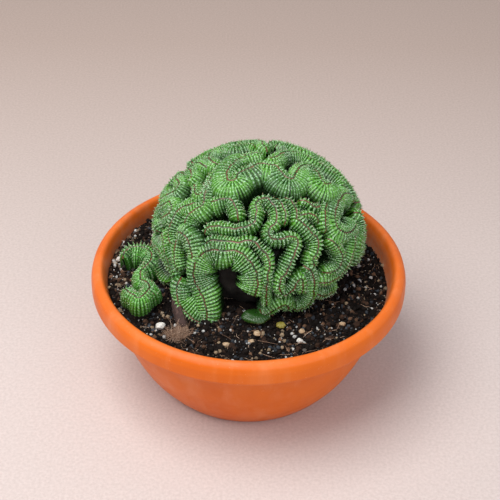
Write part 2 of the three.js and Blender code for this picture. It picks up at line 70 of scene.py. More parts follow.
LIP_RADIUS, _, RIM_TOP = node_box("bowl")[1]
NECK_RADIUS = LIP_RADIUS - 8.8
BOWL_WALL = 2.5
FOOT_RADIUS = 69.0
LIP_BOTTOM = RIM_TOP - 15.5
FLOOR_TOP = 5.5
CROWN_CENTRE = np.array([7.0, 16.0, 112.0])
CROWN_RADII = np.array([78.5, 76.5, 62.5])
SOIL_HEIGHT = 86.0
SOIL_FALL = 4.5
SOIL_TILT = 0.03
print("bowl: rim at", RIM_TOP, "mm, lip radius", LIP_RADIUS, "mm")

# %% Level of the soil


def soil_height(x, y):
    """Height of the soil: level at the axis, falling with the square of the distance to the
    wall, and leaning by a fixed rise per millimetre towards -X."""
    out = np.hypot(x, y) / NECK_RADIUS
    return SOIL_HEIGHT - SOIL_FALL * out**2 - SOIL_TILT * x


print("soil at the axis:", soil_height(0, 0), "mm; at the wall:", soil_height(NECK_RADIUS, 0), "mm")

# %% [markdown]
# Meshes from grids
# -----------------
# A surface is a grid of points: one index runs along it, the other across it. The faces join
# neighbours in the grid, so they are a formula on the indices, and numpy makes them all at once.
# Nearly every piece here is a closed tube: its last column joins its first, and one face with
# many corners closes each end. So it is a solid skin with an inside, as a real thing is.

# %% Faces of a grid


def grid_faces(rows, columns):
    """Four-sided faces of a grid: corner (i, j) joins (i+1, j), (i+1, j+1) and (i, j+1), and the
    last column joins the first."""
    i = np.arange(rows - 1)[:, None]
    j = np.arange(columns)[None, :]
    next_j = (j + 1) % columns
    corners = [i * columns + j, (i + 1) * columns + j, (i + 1) * columns + next_j, i * columns + next_j]
    return np.stack([np.broadcast_to(c, (i.size, j.size)) for c in corners], -1).reshape(-1, 4)


print("a tube of 3 rows and 8 columns has", len(grid_faces(3, 8)), "faces round it")

# %% Meshes from arrays


def add_mesh(name, points, faces, marks=None, smooth=True):
    """A mesh object from points in millimetres and a list of face arrays. marks, if given, is one
    colour for each point, which the finishes read."""
    mesh = bpy.data.meshes.new(name)
    faces = [np.asarray(f) for f in faces]
    loops = np.concatenate([f.ravel() for f in faces])
    sizes = np.concatenate([np.full(len(f), f.shape[1]) for f in faces])
    starts = np.concatenate([[0], np.cumsum(sizes)[:-1]])
    mesh.vertices.add(len(points))
    mesh.vertices.foreach_set("co", (np.asarray(points) * MM).astype(np.float32).ravel())
    mesh.loops.add(len(loops))
    mesh.loops.foreach_set("vertex_index", loops.astype(np.int32))
    mesh.polygons.add(len(sizes))
    mesh.polygons.foreach_set("loop_start", starts.astype(np.int32))
    mesh.polygons.foreach_set("loop_total", sizes.astype(np.int32))
    mesh.polygons.foreach_set("use_smooth", np.full(len(sizes), smooth))
    mesh.update(calc_edges=True)
    mesh.validate()
    if marks is not None:
        layer = mesh.attributes.new("mark", "FLOAT_COLOR", "POINT")
        layer.data.foreach_set("color", np.asarray(marks, np.float32).ravel())
    piece = bpy.data.objects.new(name, mesh)
    bpy.context.scene.collection.objects.link(piece)
    return piece


def add_tube(name, points, marks=None, turned=False):
    """A closed tube from a grid of points: the faces of the grid and one face at each end. turned
    reverses them all, for a grid whose columns run the other way round its rows."""
    rows, columns = points.shape[:2]
    first = np.arange(columns)[None, ::-1]
    last = (rows - 1) * columns + np.arange(columns)[None, :]
    faces = [grid_faces(rows, columns), first, last]
    if turned:
        faces = [part[:, ::-1] for part in faces]
    if marks is not None:
        marks = marks.reshape(-1, 4)
    return add_mesh(name, points.reshape(-1, 3), faces, marks)


# %% Smooth noise


def waves(at, wavelength, seed):
    """Smooth noise between about -1 and 1: the mean of seven sines with random directions,
    random phases and wavelengths within a third of the one asked for."""
    pick = np.random.default_rng(seed)
    at = np.asarray(at, float)
    at = at[..., None] if at.ndim == 1 else at
    total = np.zeros(at.shape[:-1])
    for _ in range(7):
        way = pick.normal(size=at.shape[-1])
        way *= 2 * np.pi / (np.linalg.norm(way) * wavelength * pick.uniform(0.7, 1.4))
        total += np.sin(at @ way + pick.uniform(0, 2 * np.pi))
    return total / 3.2


print("noise at three places:", waves(np.array([0.0, 5.0, 10.0]), 10.0, 1).round(2))

# %% Finished pieces


def finish_piece(piece, slot, material, *nodes):
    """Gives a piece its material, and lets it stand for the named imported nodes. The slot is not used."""
    piece.data.materials.append(material)
    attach(piece, "root")
    for node in nodes:
        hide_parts(node)
    return piece


# %% [markdown]
# Finishes
# --------
# The plant's skin changes over each crest: a red-brown growing edge along the ridge, a pale
# painted highlight on the tops of the ribs, fresh green on the flanks, and painted shade,
# near-black green, in the furrows between the ribs and down in the folds. An image texture could
# show that, but the ribs and folds are worked out with the mesh, so the mesh carries it as four
# marks on each point: edge, depth, rib and tone. The finishes read them, and the colours always
# fall on the right rib. The rougher things, such as bark, soil and stones, need only noise through
# a ramp of colours.

# %% Materials, ramps and mixes


def new_material(name):
    """A material with an empty tree, its Principled shader and its output."""
    material = bpy.data.materials.new(name)
    material.use_nodes = True
    tree = material.node_tree
    shader = tree.nodes["Principled BSDF"]
    return material, tree, shader


def ramp(tree, value, stops):
    """A colour ramp: stops are (position, (red, green, blue)) in linear light."""
    node = tree.nodes.new("ShaderNodeValToRGB")
    node.color_ramp.elements.remove(node.color_ramp.elements[1])
    for i, (position, colour) in enumerate(stops):
        element = node.color_ramp.elements[0] if i == 0 else node.color_ramp.elements.new(position)
        element.position = position
        element.color = (*colour, 1)
    tree.links.new(value, node.inputs["Fac"])
    return node.outputs["Color"]


def blend(tree, amount, first, second, mode="MIX"):
    """Mixes two colours. amount, first and second are sockets, numbers or colours."""
    node = tree.nodes.new("ShaderNodeMix")
    node.data_type = "RGBA"
    node.blend_type = mode
    for place, value in ((0, amount), (6, first), (7, second)):
        socket = node.inputs[place]
        if isinstance(value, bpy.types.NodeSocket):
            tree.links.new(value, socket)
        elif isinstance(value, tuple):
            socket.default_value = (*value, 1)
        else:
            socket.default_value = value
    return node.outputs[2]


# %% Arithmetic on sockets


def reckon(tree, operation, first, second):
    """One step of arithmetic on two sockets or numbers."""
    node = tree.nodes.new("ShaderNodeMath")
    node.operation = operation
    for socket, value in zip(node.inputs, (first, second)):
        if isinstance(value, bpy.types.NodeSocket):
            tree.links.new(value, socket)
        else:
            socket.default_value = value
    return node.outputs[0]


def stretch(tree, value, low, high, to_low=0.0, to_high=1.0):
    """Maps low..high to to_low..to_high, and holds the ends."""
    node = tree.nodes.new("ShaderNodeMapRange")
    tree.links.new(value, node.inputs["Value"])
    limits = {"From Min": low, "From Max": high, "To Min": to_low, "To Max": to_high}
    for name, number in limits.items():
        node.inputs[name].default_value = number
    return node.outputs["Result"]


# %% Noise, bumps and marks


def noise(tree, size, detail=3.0, roughness=0.55):
    """Noise in the object's own space; size is the width of one patch in metres."""
    place = tree.nodes.new("ShaderNodeTexCoord")
    node = tree.nodes.new("ShaderNodeTexNoise")
    node.inputs["Scale"].default_value = 1 / size
    node.inputs["Detail"].default_value = detail
    node.inputs["Roughness"].default_value = roughness
    tree.links.new(place.outputs["Object"], node.inputs["Vector"])
    return node.outputs["Fac"]


def bump(tree, shader, height, depth):
    """Feeds a height into the shader's normal; depth is in metres."""
    node = tree.nodes.new("ShaderNodeBump")
    node.inputs["Strength"].default_value = 1.0
    node.inputs["Distance"].default_value = depth
    tree.links.new(height, node.inputs["Height"])
    tree.links.new(node.outputs["Normal"], shader.inputs["Normal"])


def marks_of(tree):
    """The four marks of the mesh as sockets: edge, depth, rib and tone."""
    node = tree.nodes.new("ShaderNodeAttribute")
    node.attribute_name = "mark"
    split = tree.nodes.new("ShaderNodeSeparateColor")
    tree.links.new(node.outputs["Color"], split.inputs["Color"])
    return split.outputs["Red"], split.outputs["Green"], split.outputs["Blue"], node.outputs["Alpha"]


def mottled_material(name, grain, stops, roughness, relief=0.0, specular=0.5):
    """A finish whose colour is a ramp over noise; the same noise raises the surface by relief, in
    metres. grain holds the noise's patch width, detail and roughness."""
    material, tree, shader = new_material(name)
    pattern = noise(tree, *grain)
    tree.links.new(ramp(tree, pattern, stops), shader.inputs["Base Color"])
    shader.inputs["Roughness"].default_value = roughness
    shader.inputs["Specular IOR Level"].default_value = specular
    if relief:
        bump(tree, shader, pattern, relief)
    return material


# %% Plant skin


def plant_skin(name, crease_shade, flank, fresh, rib_highlight, edge_colour, roughness):
    """Skin of the crests. Down the flank the colour runs from fresh green to near-black in the
    fold, which is painted shade, and the furrows between the ribs get the same painted shade. The
    tops of the ribs carry a pale painted highlight, and the growing edge is red-brown."""
    material, tree, shader = new_material(name)
    edge, fold_shade_share, rib, tone = marks_of(tree)
    patches = noise(tree, 0.012, 4.0)
    grain = noise(tree, 0.0010, 2.0)
    body = blend(tree, stretch(tree, tone, 0.2, 0.8), flank, fresh)
    body = blend(tree, stretch(tree, patches, 0.35, 0.7, 0.0, 0.5), body, fresh)
    # Painted highlight: the tops of the ribs are blended towards a pale bluish green.
    rib_top, speckle = stretch(tree, rib, 0.74, 0.98), stretch(tree, grain, 0.42, 0.64)
    lit = reckon(tree, "MULTIPLY", rib_top, speckle)
    body = blend(tree, reckon(tree, "MULTIPLY", lit, 0.9), body, rib_highlight)
    # Painted shade: the furrows between the ribs and the deep folds are blended towards near-black.
    body = blend(tree, stretch(tree, rib, 0.35, 0.74, 0.96, 0.0), body, crease_shade)
    body = blend(tree, stretch(tree, fold_shade_share, 0.0, 0.8, 0.0, 0.97), body, crease_shade)
    breaks = stretch(tree, noise(tree, 0.0026, 2.0), 0.40, 0.58)
    line = reckon(tree, "MULTIPLY", edge, breaks)
    body = blend(tree, line, body, edge_colour)
    tree.links.new(body, shader.inputs["Base Color"])
    satin = stretch(tree, grain, 0.3, 0.7, roughness - 0.08, roughness + 0.14)
    tree.links.new(satin, shader.inputs["Roughness"])
    shader.inputs["Specular IOR Level"].default_value = 0.6
    bump(tree, shader, grain, 0.00020)
    return material


# The near-black colour of the painted shade in the furrows and folds.
CREASE_SHADE = (0.003, 0.010, 0.002)
plant_material = plant_skin(
    "plant skin",
    crease_shade=CREASE_SHADE,
    flank=(0.028, 0.135, 0.008),
    fresh=(0.095, 0.330, 0.020),
    rib_highlight=(0.50, 0.74, 0.56),
    edge_colour=(0.24, 0.075, 0.045),
    roughness=0.28,
)
young_material = plant_skin(
    "young plant skin",
    crease_shade=CREASE_SHADE,
    flank=(0.032, 0.165, 0.012),
    fresh=(0.090, 0.36, 0.025),
    rib_highlight=(0.46, 0.72, 0.44),
    edge_colour=(0.20, 0.05, 0.03),
    roughness=0.28,
)
print("plant finishes made")

# %% [markdown]
# The camera, the light and the floor
# -----------------------------------
# The camera looks down on the bowl at about 37 degrees through a long lens. The light is a
# soft window above the bowl, a little to the left and the front, with a weaker fill from the
# front right and a pale sky all round. The floor is warm pale paper. On a real table such paper
# is bent up behind the bowl and lies in shade there; here a flat floor whose colour is painted
# darker with distance, painted shade, gives the same backdrop and doesn't stand in the way of a
# view from behind.

# %% Camera
PITCH = math.asin(0.6)
ROLL = math.radians(0.937)
CAMERA_PLACE = Vector((0.72, -640.57, 586.40)) * MM
camera_data = bpy.data.cameras.new("camera")
camera_data.lens = 79.2
camera_data.sensor_width = 36.0
camera_data.clip_end = 20.0
camera = bpy.data.objects.new("camera", camera_data)
right = Vector((1, 0, 0))
up = Vector((0, math.sin(PITCH), math.cos(PITCH)))
back = Vector((0, -math.cos(PITCH), math.sin(PITCH)))
turn = Matrix((right, up, back)).transposed() @ Matrix.Rotation(ROLL, 3, "Z")
camera.matrix_world = Matrix.Translation(CAMERA_PLACE) @ turn.to_4x4()
bpy.context.scene.collection.objects.link(camera)
bpy.context.scene.camera = camera
print("camera at", tuple(round(c, 3) for c in CAMERA_PLACE))

# %% Lights
LIT_PLACE = Vector((0, 0, 0.1))
SKY_COLOUR, SKY_STRENGTH = (0.95, 0.96, 1.0, 1), 0.43


def add_window(name, place, size, power, colour):
    """A square soft light at a place in metres, turned to face the plant."""
    lamp = bpy.data.lights.new(name, "AREA")
    lamp.size = size
    lamp.energy = power
    lamp.color = colour
    window = bpy.data.objects.new(name, lamp)
    window.location = place
    window.rotation_euler = (LIT_PLACE - Vector(place)).to_track_quat("-Z", "Y").to_euler()
    bpy.context.scene.collection.objects.link(window)


add_window("window", (-0.42, -0.26, 1.2), 0.9, 17.0, (1.0, 0.98, 0.95))
add_window("fill", (0.7, -1.2, 0.9), 1.4, 8.0, (0.96, 0.97, 1.0))
world = bpy.data.worlds.new("sky")
world.use_nodes = True
background = world.node_tree.nodes["Background"]
background.inputs["Color"].default_value = SKY_COLOUR
background.inputs["Strength"].default_value = SKY_STRENGTH
bpy.context.scene.world = world
bpy.context.scene.view_settings.view_transform = "Standard"
print("lights: window, fill and a sky of strength", SKY_STRENGTH)

# %% Floor
floor_material, floor_tree, floor_shader = new_material("pale paper")
mottle = stretch(floor_tree, noise(floor_tree, 0.0022, 4.0, 0.6), 0.35, 0.65)
near_colour = blend(floor_tree, mottle, (0.57, 0.490, 0.465), (0.65, 0.565, 0.54))
# Painted shade: the floor's colour darkens with distance behind the bowl, standing for paper bent up in
# shade there.
far_shade_colour = blend(floor_tree, mottle, (0.48, 0.375, 0.325), (0.55, 0.435, 0.385))
floor_place = floor_tree.nodes.new("ShaderNodeTexCoord")
floor_split = floor_tree.nodes.new("ShaderNodeSeparateXYZ")
floor_tree.links.new(floor_place.outputs["Object"], floor_split.inputs["Vector"])
distance = stretch(floor_tree, floor_split.outputs["Y"], 0.02, 0.55)
floor_colour = blend(floor_tree, distance, near_colour, far_shade_colour)
floor_tree.links.new(floor_colour, floor_shader.inputs["Base Color"])
floor_shader.inputs["Roughness"].default_value = 0.9
FLOOR_REACH = 4000.0
floor_points = np.array([[-1, -1, 0], [1, -1, 0], [1, 1, 0], [-1, 1, 0]]) * FLOOR_REACH
floor = add_mesh("floor", floor_points, [np.array([[0, 1, 2, 3]])], smooth=False)
floor.data.materials.append(floor_material)
print("floor:", 2 * FLOOR_REACH * MM, "m square")

# %% [markdown]
# The bowl
# --------
# The bowl is moulded plastic: one profile turned round its axis. The profile runs under the
# floor, over the foot ring, up the flaring wall, round inside the turned-down lip, over the rim
# and down the inside. The turned surface is a grid of profile points by angles. Each point also
# carries a mark for how dusty it is, which the finish reads. The drain holes are cut afterwards
# with a boolean, because the rings of a turned grid run straight through them; six prisms, a
# little turned so that no corner falls on an edge of the grid, make a clean cut.

# %% Curves


def through(points, count):
    """A smooth row of count points through the given ones: Catmull-Rom cubics, then points
    spaced evenly along their length."""
    p = np.asarray(points, float)
    p = np.vstack([2 * p[0] - p[1], p, 2 * p[-1] - p[-2]])
    t = np.linspace(0, 1, 24, endpoint=False)[None, :, None]
    a, b, c, d = (p[k : len(p) - 3 + k, None] for k in range(4))
    cubic = 2 * b + (c - a) * t + (2 * a - 5 * b + 4 * c - d) * t**2 + (3 * b - a - 3 * c + d) * t**3
    fine = np.vstack([0.5 * cubic.reshape(-1, p.shape[1]), p[-2]])
    run = np.concatenate([[0], np.cumsum(np.linalg.norm(np.diff(fine, axis=0), axis=1))])
    even = np.linspace(0, run[-1], count)
    return np.stack([np.interp(even, run, column) for column in fine.T], -1)


def arc(centre, radius, start, end, count):
    """Points on a circular arc in the profile's plane; angles in degrees from the outward side."""
    angle = np.radians(np.linspace(start, end, count))
    return np.asarray(centre) + radius * np.stack([np.cos(angle), np.sin(angle)], -1)


# %% Bowl profile
wall_outside = through(
    [
        (FOOT_RADIUS + 0.8, 0.6),
        (FOOT_RADIUS + 7, 8.5),
        (FOOT_RADIUS + 15.6, 22),
        (FOOT_RADIUS + 24.3, 42),
        (NECK_RADIUS - 7.5, 62),
        (NECK_RADIUS - 1, LIP_BOTTOM),
        (NECK_RADIUS + 0.6, RIM_TOP - 6),
    ],
    40,
)
wall_inside = (wall_outside - np.array([BOWL_WALL, 0]))[wall_outside[:, 1] > FLOOR_TOP + 3][::-1]
rim_middle = (NECK_RADIUS + LIP_RADIUS) / 2
lip_inside = LIP_RADIUS - BOWL_WALL
bowl_profile = np.vstack(
    [
        [(3.0, 3.0), (24, 3.0), (50, 3.0), (FOOT_RADIUS - 9, 3.0), (FOOT_RADIUS - 8, 2.4)],
        [(FOOT_RADIUS - 7, 0.5), (FOOT_RADIUS - 6.4, 0.0), (FOOT_RADIUS, 0.0)],
        wall_outside,
        arc((rim_middle - 0.1, RIM_TOP - 6), rim_middle - NECK_RADIUS - 1.0, 180, 0, 12),
        [(lip_inside, RIM_TOP - 9), (lip_inside, LIP_BOTTOM + 0.7)],
        arc((LIP_RADIUS - 0.5 * BOWL_WALL, LIP_BOTTOM + 0.6), 0.6 + 0.25 * BOWL_WALL, 200, 340, 6),
        [(LIP_RADIUS, LIP_BOTTOM + 1.4), (LIP_RADIUS - 0.1, RIM_TOP - 8.2)],
        through(
            [
                (LIP_RADIUS - 0.3, RIM_TOP - 6.5),
                (LIP_RADIUS - 1.5, RIM_TOP - 2.7),
                (LIP_RADIUS - 4.3, RIM_TOP - 0.4),
                (LIP_RADIUS - 6.6, RIM_TOP),
                (NECK_RADIUS + 0.5, RIM_TOP - 1.1),
                (NECK_RADIUS - 0.6, RIM_TOP - 3.2),
            ],
            18,
        ),
        wall_inside[1:],
        [(FOOT_RADIUS - BOWL_WALL, FLOOR_TOP), (50, FLOOR_TOP), (24, FLOOR_TOP), (3.0, FLOOR_TOP)],
    ]
)
print("bowl profile:", len(bowl_profile), "points")

# %% Bowl surface


def turned_points(profile, sides):
    """Each profile point (radius, height) swept round the Z axis: x = radius cos a,
    y = radius sin a."""
    angle = np.linspace(0, 2 * np.pi, sides, endpoint=False)
    radius, height = profile[:, :1], profile[:, 1:]
    x, y = radius * np.cos(angle), radius * np.sin(angle)
    return np.stack([x, y, np.broadcast_to(height, x.shape)], -1)


BOWL_SIDES = 180
DUST_FALL, DUST_SHARE = [2, 6, 14, 22], [0.22, 0.38, 0.62, 0.9]
RIM_DUST, RIM_DUST_FALL = 0.10, 3.0
inside_first = len(bowl_profile) - len(wall_inside) - 3
is_inside = np.arange(len(bowl_profile)) >= inside_first
fall = RIM_TOP - bowl_profile[:, 1]
dust_marks = np.where(is_inside, np.interp(fall, DUST_FALL, DUST_SHARE), 0.0)
dust_marks = np.where(~is_inside & (fall < RIM_DUST_FALL), RIM_DUST, dust_marks)
bowl_marks = np.broadcast_to(dust_marks[:, None, None], (len(bowl_profile), BOWL_SIDES, 4))
bowl = add_tube("bowl_shell", turned_points(bowl_profile, BOWL_SIDES), bowl_marks, turned=True)
print("bowl:", len(bowl.data.polygons), "faces")

# %% Drain holes
DRAIN_RADIUS, DRAIN_RING, DRAIN_COUNT, DRAIN_SIDES, DRAIN_TURN = 5.0, 38.0, 6, 32, 0.0131
drill_line = np.array([(DRAIN_RADIUS, -2.0), (DRAIN_RADIUS, FLOOR_TOP + 4)])
drill_side = turned_points(drill_line, DRAIN_SIDES)
drill_turn = np.arange(DRAIN_COUNT) / DRAIN_COUNT * 2 * np.pi + DRAIN_TURN
drill_place = np.stack([np.cos(drill_turn), np.sin(drill_turn), 0 * drill_turn], -1) * DRAIN_RING
drill_points = (drill_side.reshape(1, -1, 3) + drill_place[:, None]).reshape(-1, 3)
drill_shift = (np.arange(DRAIN_COUNT) * 2 * DRAIN_SIDES)[:, None, None]
drill_wall = grid_faces(2, DRAIN_SIDES)[:, ::-1]
drill_ends = np.stack([np.arange(DRAIN_SIDES)[::-1], DRAIN_SIDES + np.arange(DRAIN_SIDES)])
drill_faces = [
    (part[None] + drill_shift).reshape(-1, part.shape[1]) for part in (drill_wall, drill_ends)
]
drill = add_mesh("drill", drill_points, drill_faces, smooth=False)
cut = bowl.modifiers.new("drain holes", "BOOLEAN")
cut.operation, cut.solver, cut.object = "DIFFERENCE", "EXACT", drill
cut_bowl = bowl.evaluated_get(bpy.context.evaluated_depsgraph_get())
bowl.data = bpy.data.meshes.new_from_object(cut_bowl)
bowl.modifiers.clear()
bpy.data.objects.remove(drill)
print("bowl with holes:", len(bowl.data.polygons), "faces")

# %% [markdown]
# Paths for the crests
# --------------------
# A crest is a folded sheet whose growing edge winds over the crown. Its ridge is a short list of
# given places, each one so many degrees east (+X) and north (+Y) of the crown's top,
# and some stand proud of the outline by a few millimetres. The path through them is a smooth
# curve with a point about every 0.4 mm, so that each rib has five or six points along it.

# %% Places on the crown


def crown_place(east, north, proud):
    """A point of the crown: go the given arc from the top, towards the heading whose east and
    north shares are given, then out along the outline's normal by proud."""
    distance = np.radians(np.hypot(east, north))
    heading = np.arctan2(east, north)
    east, north = np.sin(distance) * np.sin(heading), np.sin(distance) * np.cos(heading)
    way = np.stack([east, north, np.cos(distance)], -1)
    normal = way / CROWN_RADII
    normal /= np.linalg.norm(normal, axis=-1, keepdims=True)
    return CROWN_CENTRE + way * CROWN_RADII + normal * np.asarray(proud)[..., None]


def crown_outward(points):
    """Direction out of the crown: the gradient of the ellipsoid, made one unit long."""
    way = (points - CROWN_CENTRE) / CROWN_RADII**2
    return way / np.linalg.norm(way, axis=-1, keepdims=True)


print("top of the crown:", crown_place(0.0, 0.0, 0.0), "mm")

# %% Ridge paths


def soften(values, reach):
    """Running mean with a bell-shaped weight; the ends are held."""
    steps = np.arange(-3 * reach, 3 * reach + 1)
    weight = np.exp(-0.5 * (steps / reach) ** 2)
    weight /= weight.sum()
    first, last = np.repeat(values[:1], 3 * reach, 0), np.repeat(values[-1:], 3 * reach, 0)
    padded = np.concatenate([first, values, last])
    if values.ndim == 1:
        return np.convolve(padded, weight, "valid")
    return np.stack([np.convolve(column, weight, "valid") for column in padded.T], -1)


STEP = 0.42
RIB_PITCH = 2.25


def bending(path, outward):
    """Direction along the ridge, direction to its right, and how fast it turns to the right, in
    radians per millimetre."""
    gap = np.linalg.norm(np.gradient(path, axis=0), axis=1, keepdims=True)
    ahead = np.gradient(path, axis=0) / gap
    side = np.cross(ahead, outward)
    side /= np.linalg.norm(side, axis=1, keepdims=True)
    turn_rate = np.einsum("ij,ij->i", np.gradient(soften(ahead, 3), axis=0) / gap, side)
    return ahead, side, turn_rate


def ridge_path(corners, outward_of, widest, step=STEP):
    """The ridge as points about a STEP apart: a smooth curve through the corners, softened so
    that it has no kink. Points stand closer together on a bend, because the outer flank fans out
    there: the spacing is step over one plus bend times the widest flank."""
    rough = through(corners, 400)
    length = np.linalg.norm(np.diff(rough, axis=0), axis=1).sum()
    path = through(corners, int(length / step))
    path = through(soften(path, 4), len(path))
    turn_rate = bending(path, outward_of(path))[2]
    crowd = 1 + soften(np.abs(turn_rate), 4) * widest * 0.8
    run = np.concatenate([[0], np.cumsum((crowd[1:] + crowd[:-1]) / 2)])
    even = np.linspace(0, run[-1], int(run[-1]) + 1)
    return np.stack([np.interp(even, run, column) for column in path.T], -1)


def ridge_corners(ridge):
    """Turns a crest's list of (east, north) or (east, north, proud) into points."""
    full = np.array([place if len(place) == 3 else (*place, 0.0) for place in ridge], float)
    return crown_place(full[:, 0], full[:, 1], full[:, 2])


def winding_ridge(start, end, distance, swing, bends, lean):
    """A ridge that winds round the crown: its distance from the top swings in and out, now more
    and now less, while its heading goes from start to end and leans with the swing."""
    step = np.linspace(0, 1, bends * 8 + 1)
    phase = step * bends * 2 * np.pi
    heading = np.radians(start + (end - start) * step + lean * (np.sin(2 * phase) + np.sin(0.6 * phase)))
    reach = swing * (1 + 0.25 * np.sin(0.7 * phase + 1))
    reach = distance + reach * np.sin(phase) + 0.35 * swing * np.sin(0.45 * phase)
    return list(zip(reach * np.sin(heading), reach * np.cos(heading)))


# %% [markdown]
# The surface of a crest
# ----------------------
# Across the ridge a crest is a blade with a rounded top. Comb-like ribs run down both flanks,
# a little over two millimetres apart, each a row of small bumps. A bump in the finish could fake
# them, but they show against the light along every ridge, so they are in the mesh. The surface is
# a grid: one index
# along the ridge, the other from one foot over the ridge to the other foot. Where the ridge bends
# sharply the inner flank is squeezed, so that its ribs run together and never cross. On the
# outside of a bend the ribs spread, and a new rib grows between each two.

# %% Blade of a crest
END_LENGTH = 5.0
EDGE_WIDTH = 0.38


def side_profile(width, depth, square):
    """Sideways reach and drop of one flank from ridge to foot, as shares of its width and depth.
    It is a quarter of a superellipse whose power is square: 2 is round, 4 is boxy. The points are
    close together near the ridge, and far apart deep in the fold."""
    angle = np.linspace(0, np.pi / 2, 400)
    reach = np.sin(angle) ** (2 / square)
    drop = 1 - np.cos(angle) ** (2 / square)
    run = np.concatenate([[0], np.cumsum(np.hypot(np.diff(reach * width), np.diff(drop * depth)))])
    visible = min(width + 7.0, run[-1] - 3.0)
    places = np.concatenate([np.arange(0, 2.9, 0.36), np.arange(2.9, visible, 0.68)])
    places = np.concatenate([places, np.linspace(visible, run[-1], 6)])
    return np.interp(places, run, reach), np.interp(places, run, drop)


def crest_blade(path, outward, left, right, depth, square, seed):
    """The smooth blade of a crest. Sideways reach is the flank's width times the profile,
    squeezed to less than the bend's radius on the inner side. Down is depth times the profile. A
    width may be a list, which is spread along the ridge. Both ends are rounded off."""
    gaps = np.linalg.norm(np.diff(path, axis=0), axis=1)
    run = np.concatenate([[0], np.cumsum(gaps)])
    side, turn_rate = bending(path, outward)[1:]
    from_end = np.minimum(run, run[-1] - run)
    rounding = np.sqrt(np.clip(1 - (1 - np.clip(from_end / END_LENGTH, 0.03, 1)) ** 2, 0, 1))
    thick = rounding * (1 + 0.12 * waves(run, 17.0, seed))
    flanks = []
    for way, width in ((-1, np.atleast_1d(left)), (1, np.atleast_1d(right))):
        width = np.interp(run / run[-1], np.linspace(0, 1, len(width)), width)
        squeeze = (1 + (np.clip(way * turn_rate, 0, None) * width * 1.05) ** 4) ** -0.25
        wide = soften(width * squeeze, 4) * thick
        reach, drop = side_profile(width.max(), depth, square)
        fall = (depth * drop)[None, :] + (1 - rounding)[:, None] * END_LENGTH
        out = path[:, None] + way * (wide[:, None] * reach)[..., None] * side[:, None]
        flanks.append(out - fall[..., None] * outward[:, None])
    middle = flanks[0].shape[1] - 1
    surface = np.concatenate([flanks[0][:, ::-1], flanks[1][:, 1:]], axis=1)
    wobble = (0.3 * waves(run, 9.0, seed + 1))[:, None, None] * side[:, None]
    surface += wobble * rounding[:, None, None]
    return surface, run, side, middle, rounding


print("a flank 6 mm wide has", len(side_profile(6.0, 21.0, 2.6)[0]), "points from ridge to foot")

# %% Ribs of a crest


def measures(surface, path, outward, middle):
    """The surface's normal, its distance down from the ridge, and how far neighbouring rows have
    spread, as a share of their distance at the ridge."""
    along, across = np.gradient(surface, axis=0), np.gradient(surface, axis=1)
    normal = np.cross(across, along)
    normal /= np.linalg.norm(normal, axis=-1, keepdims=True) + 1e-9
    normal *= np.sign(np.einsum("ik,ik->i", normal[:, middle], outward).mean())
    step_across = np.linalg.norm(np.diff(surface, axis=1), axis=-1)
    down = np.concatenate([np.zeros((len(path), 1)), np.cumsum(step_across, axis=1)], axis=1)
    down = np.abs(down - down[:, middle : middle + 1])
    ridge_step = np.linalg.norm(np.gradient(path, axis=0), axis=1)[:, None]
    spread = np.linalg.norm(along, axis=-1) / ridge_step
    return normal, down, np.stack([soften(column, 3) for column in spread.T], -1)


def comb_height(phase, spread):
    """The ribs' height from 0 to 1: the square root of a cosine, so the ribs are round and the
    furrows between them sharp. Where the flank has spread to twice the pitch the cosine runs
    twice as fast, and where it is squeezed to half of it, half as fast."""
    twice = np.clip((spread - 1.35) / 0.4, 0, 1)
    again = np.clip((spread - 2.7) / 0.8, 0, 1)
    half = np.clip((0.55 - spread) / 0.15, 0, 1)
    comb = (1 - twice) * np.abs(np.cos(phase)) + twice * (1 - again) * np.abs(np.cos(2 * phase))
    comb = comb + twice * again * np.abs(np.cos(4 * phase))
    return np.sqrt((1 - half) * comb + half * np.abs(np.cos(phase / 2)))


def crest_surface(path, outward, left, right, depth, square, seed):
    """Points and marks of one crest: each point of the blade moves out along the normal by the
    comb of ribs times a row of bumps down the flank, with a fine groove along the ridge."""
    surface, run, side, middle, rounding = crest_blade(path, outward, left, right, depth, square, seed)
    normal, down, spread = measures(surface, path, outward, middle)
    drift = 0.6 * waves(run, 31.0, seed + 2)
    phase = np.pi * (run + drift)[:, None] / RIB_PITCH
    phase = phase + np.where(np.arange(surface.shape[1]) < middle, 0.0, 0.5) * np.pi
    comb = comb_height(phase, spread)
    bumps = 0.91 + 0.09 * np.cos(2 * np.pi * (down - 1.6) / 2.7)
    rise = np.clip((down - 0.4) / 1.2, 0, 1) * np.clip(spread / 0.5, 0.15, 1)
    rise = rise * (1 - 0.6 * np.clip((down - 14) / 8, 0, 1))
    furrow = 1.75 * (comb * bumps - 0.62) * rise
    lip = 0.25 * np.exp(-((down - 1.0) ** 2) / 0.3) - 0.25 * np.exp(-(down**2) / 0.12)
    surface = surface + (furrow + lip)[..., None] * normal * rounding[:, None, None]

    drops = [side_profile(np.max(width), depth, square)[1] for width in (left, right)]
    # The painted shade mark: 0 near the ridge, rising to 1 deep in the fold.
    fold_shade_share = np.clip((depth * np.concatenate([drops[0][::-1], drops[1][1:]]) - 1.5) / 8.5, 0, 1)
    edge = np.exp(-((down / EDGE_WIDTH) ** 2))
    rib = np.clip(comb * bumps, 0, 1) * np.clip(down / 0.8, 0, 1)
    tone = 0.5 + 0.45 * np.sin(np.floor(phase / np.pi + 0.5) * 12.9898 + seed)
    return {
        "points": surface, "normal": normal, "side": side, "down": down, "run": run,
        "middle": middle, "outward": outward,
        "marks": np.stack([edge, np.broadcast_to(fold_shade_share, down.shape), rib, tone], -1),
    }


print("ribs stand", RIB_PITCH, "mm apart")

# %% [markdown]
# Leaf tips
# ---------
# Each rib carries a row of tiny leaves, pale green scales, some with a reddish point near the
# ridge. There are thousands, so each is one small pyramid of five faces. All their corners are
# worked out at once: a template times each leaf's length and width, set on three directions of
# its own. A row of leaves is given by its distance from the ridge, the leaves' length, and the
# share of ribs that have one.

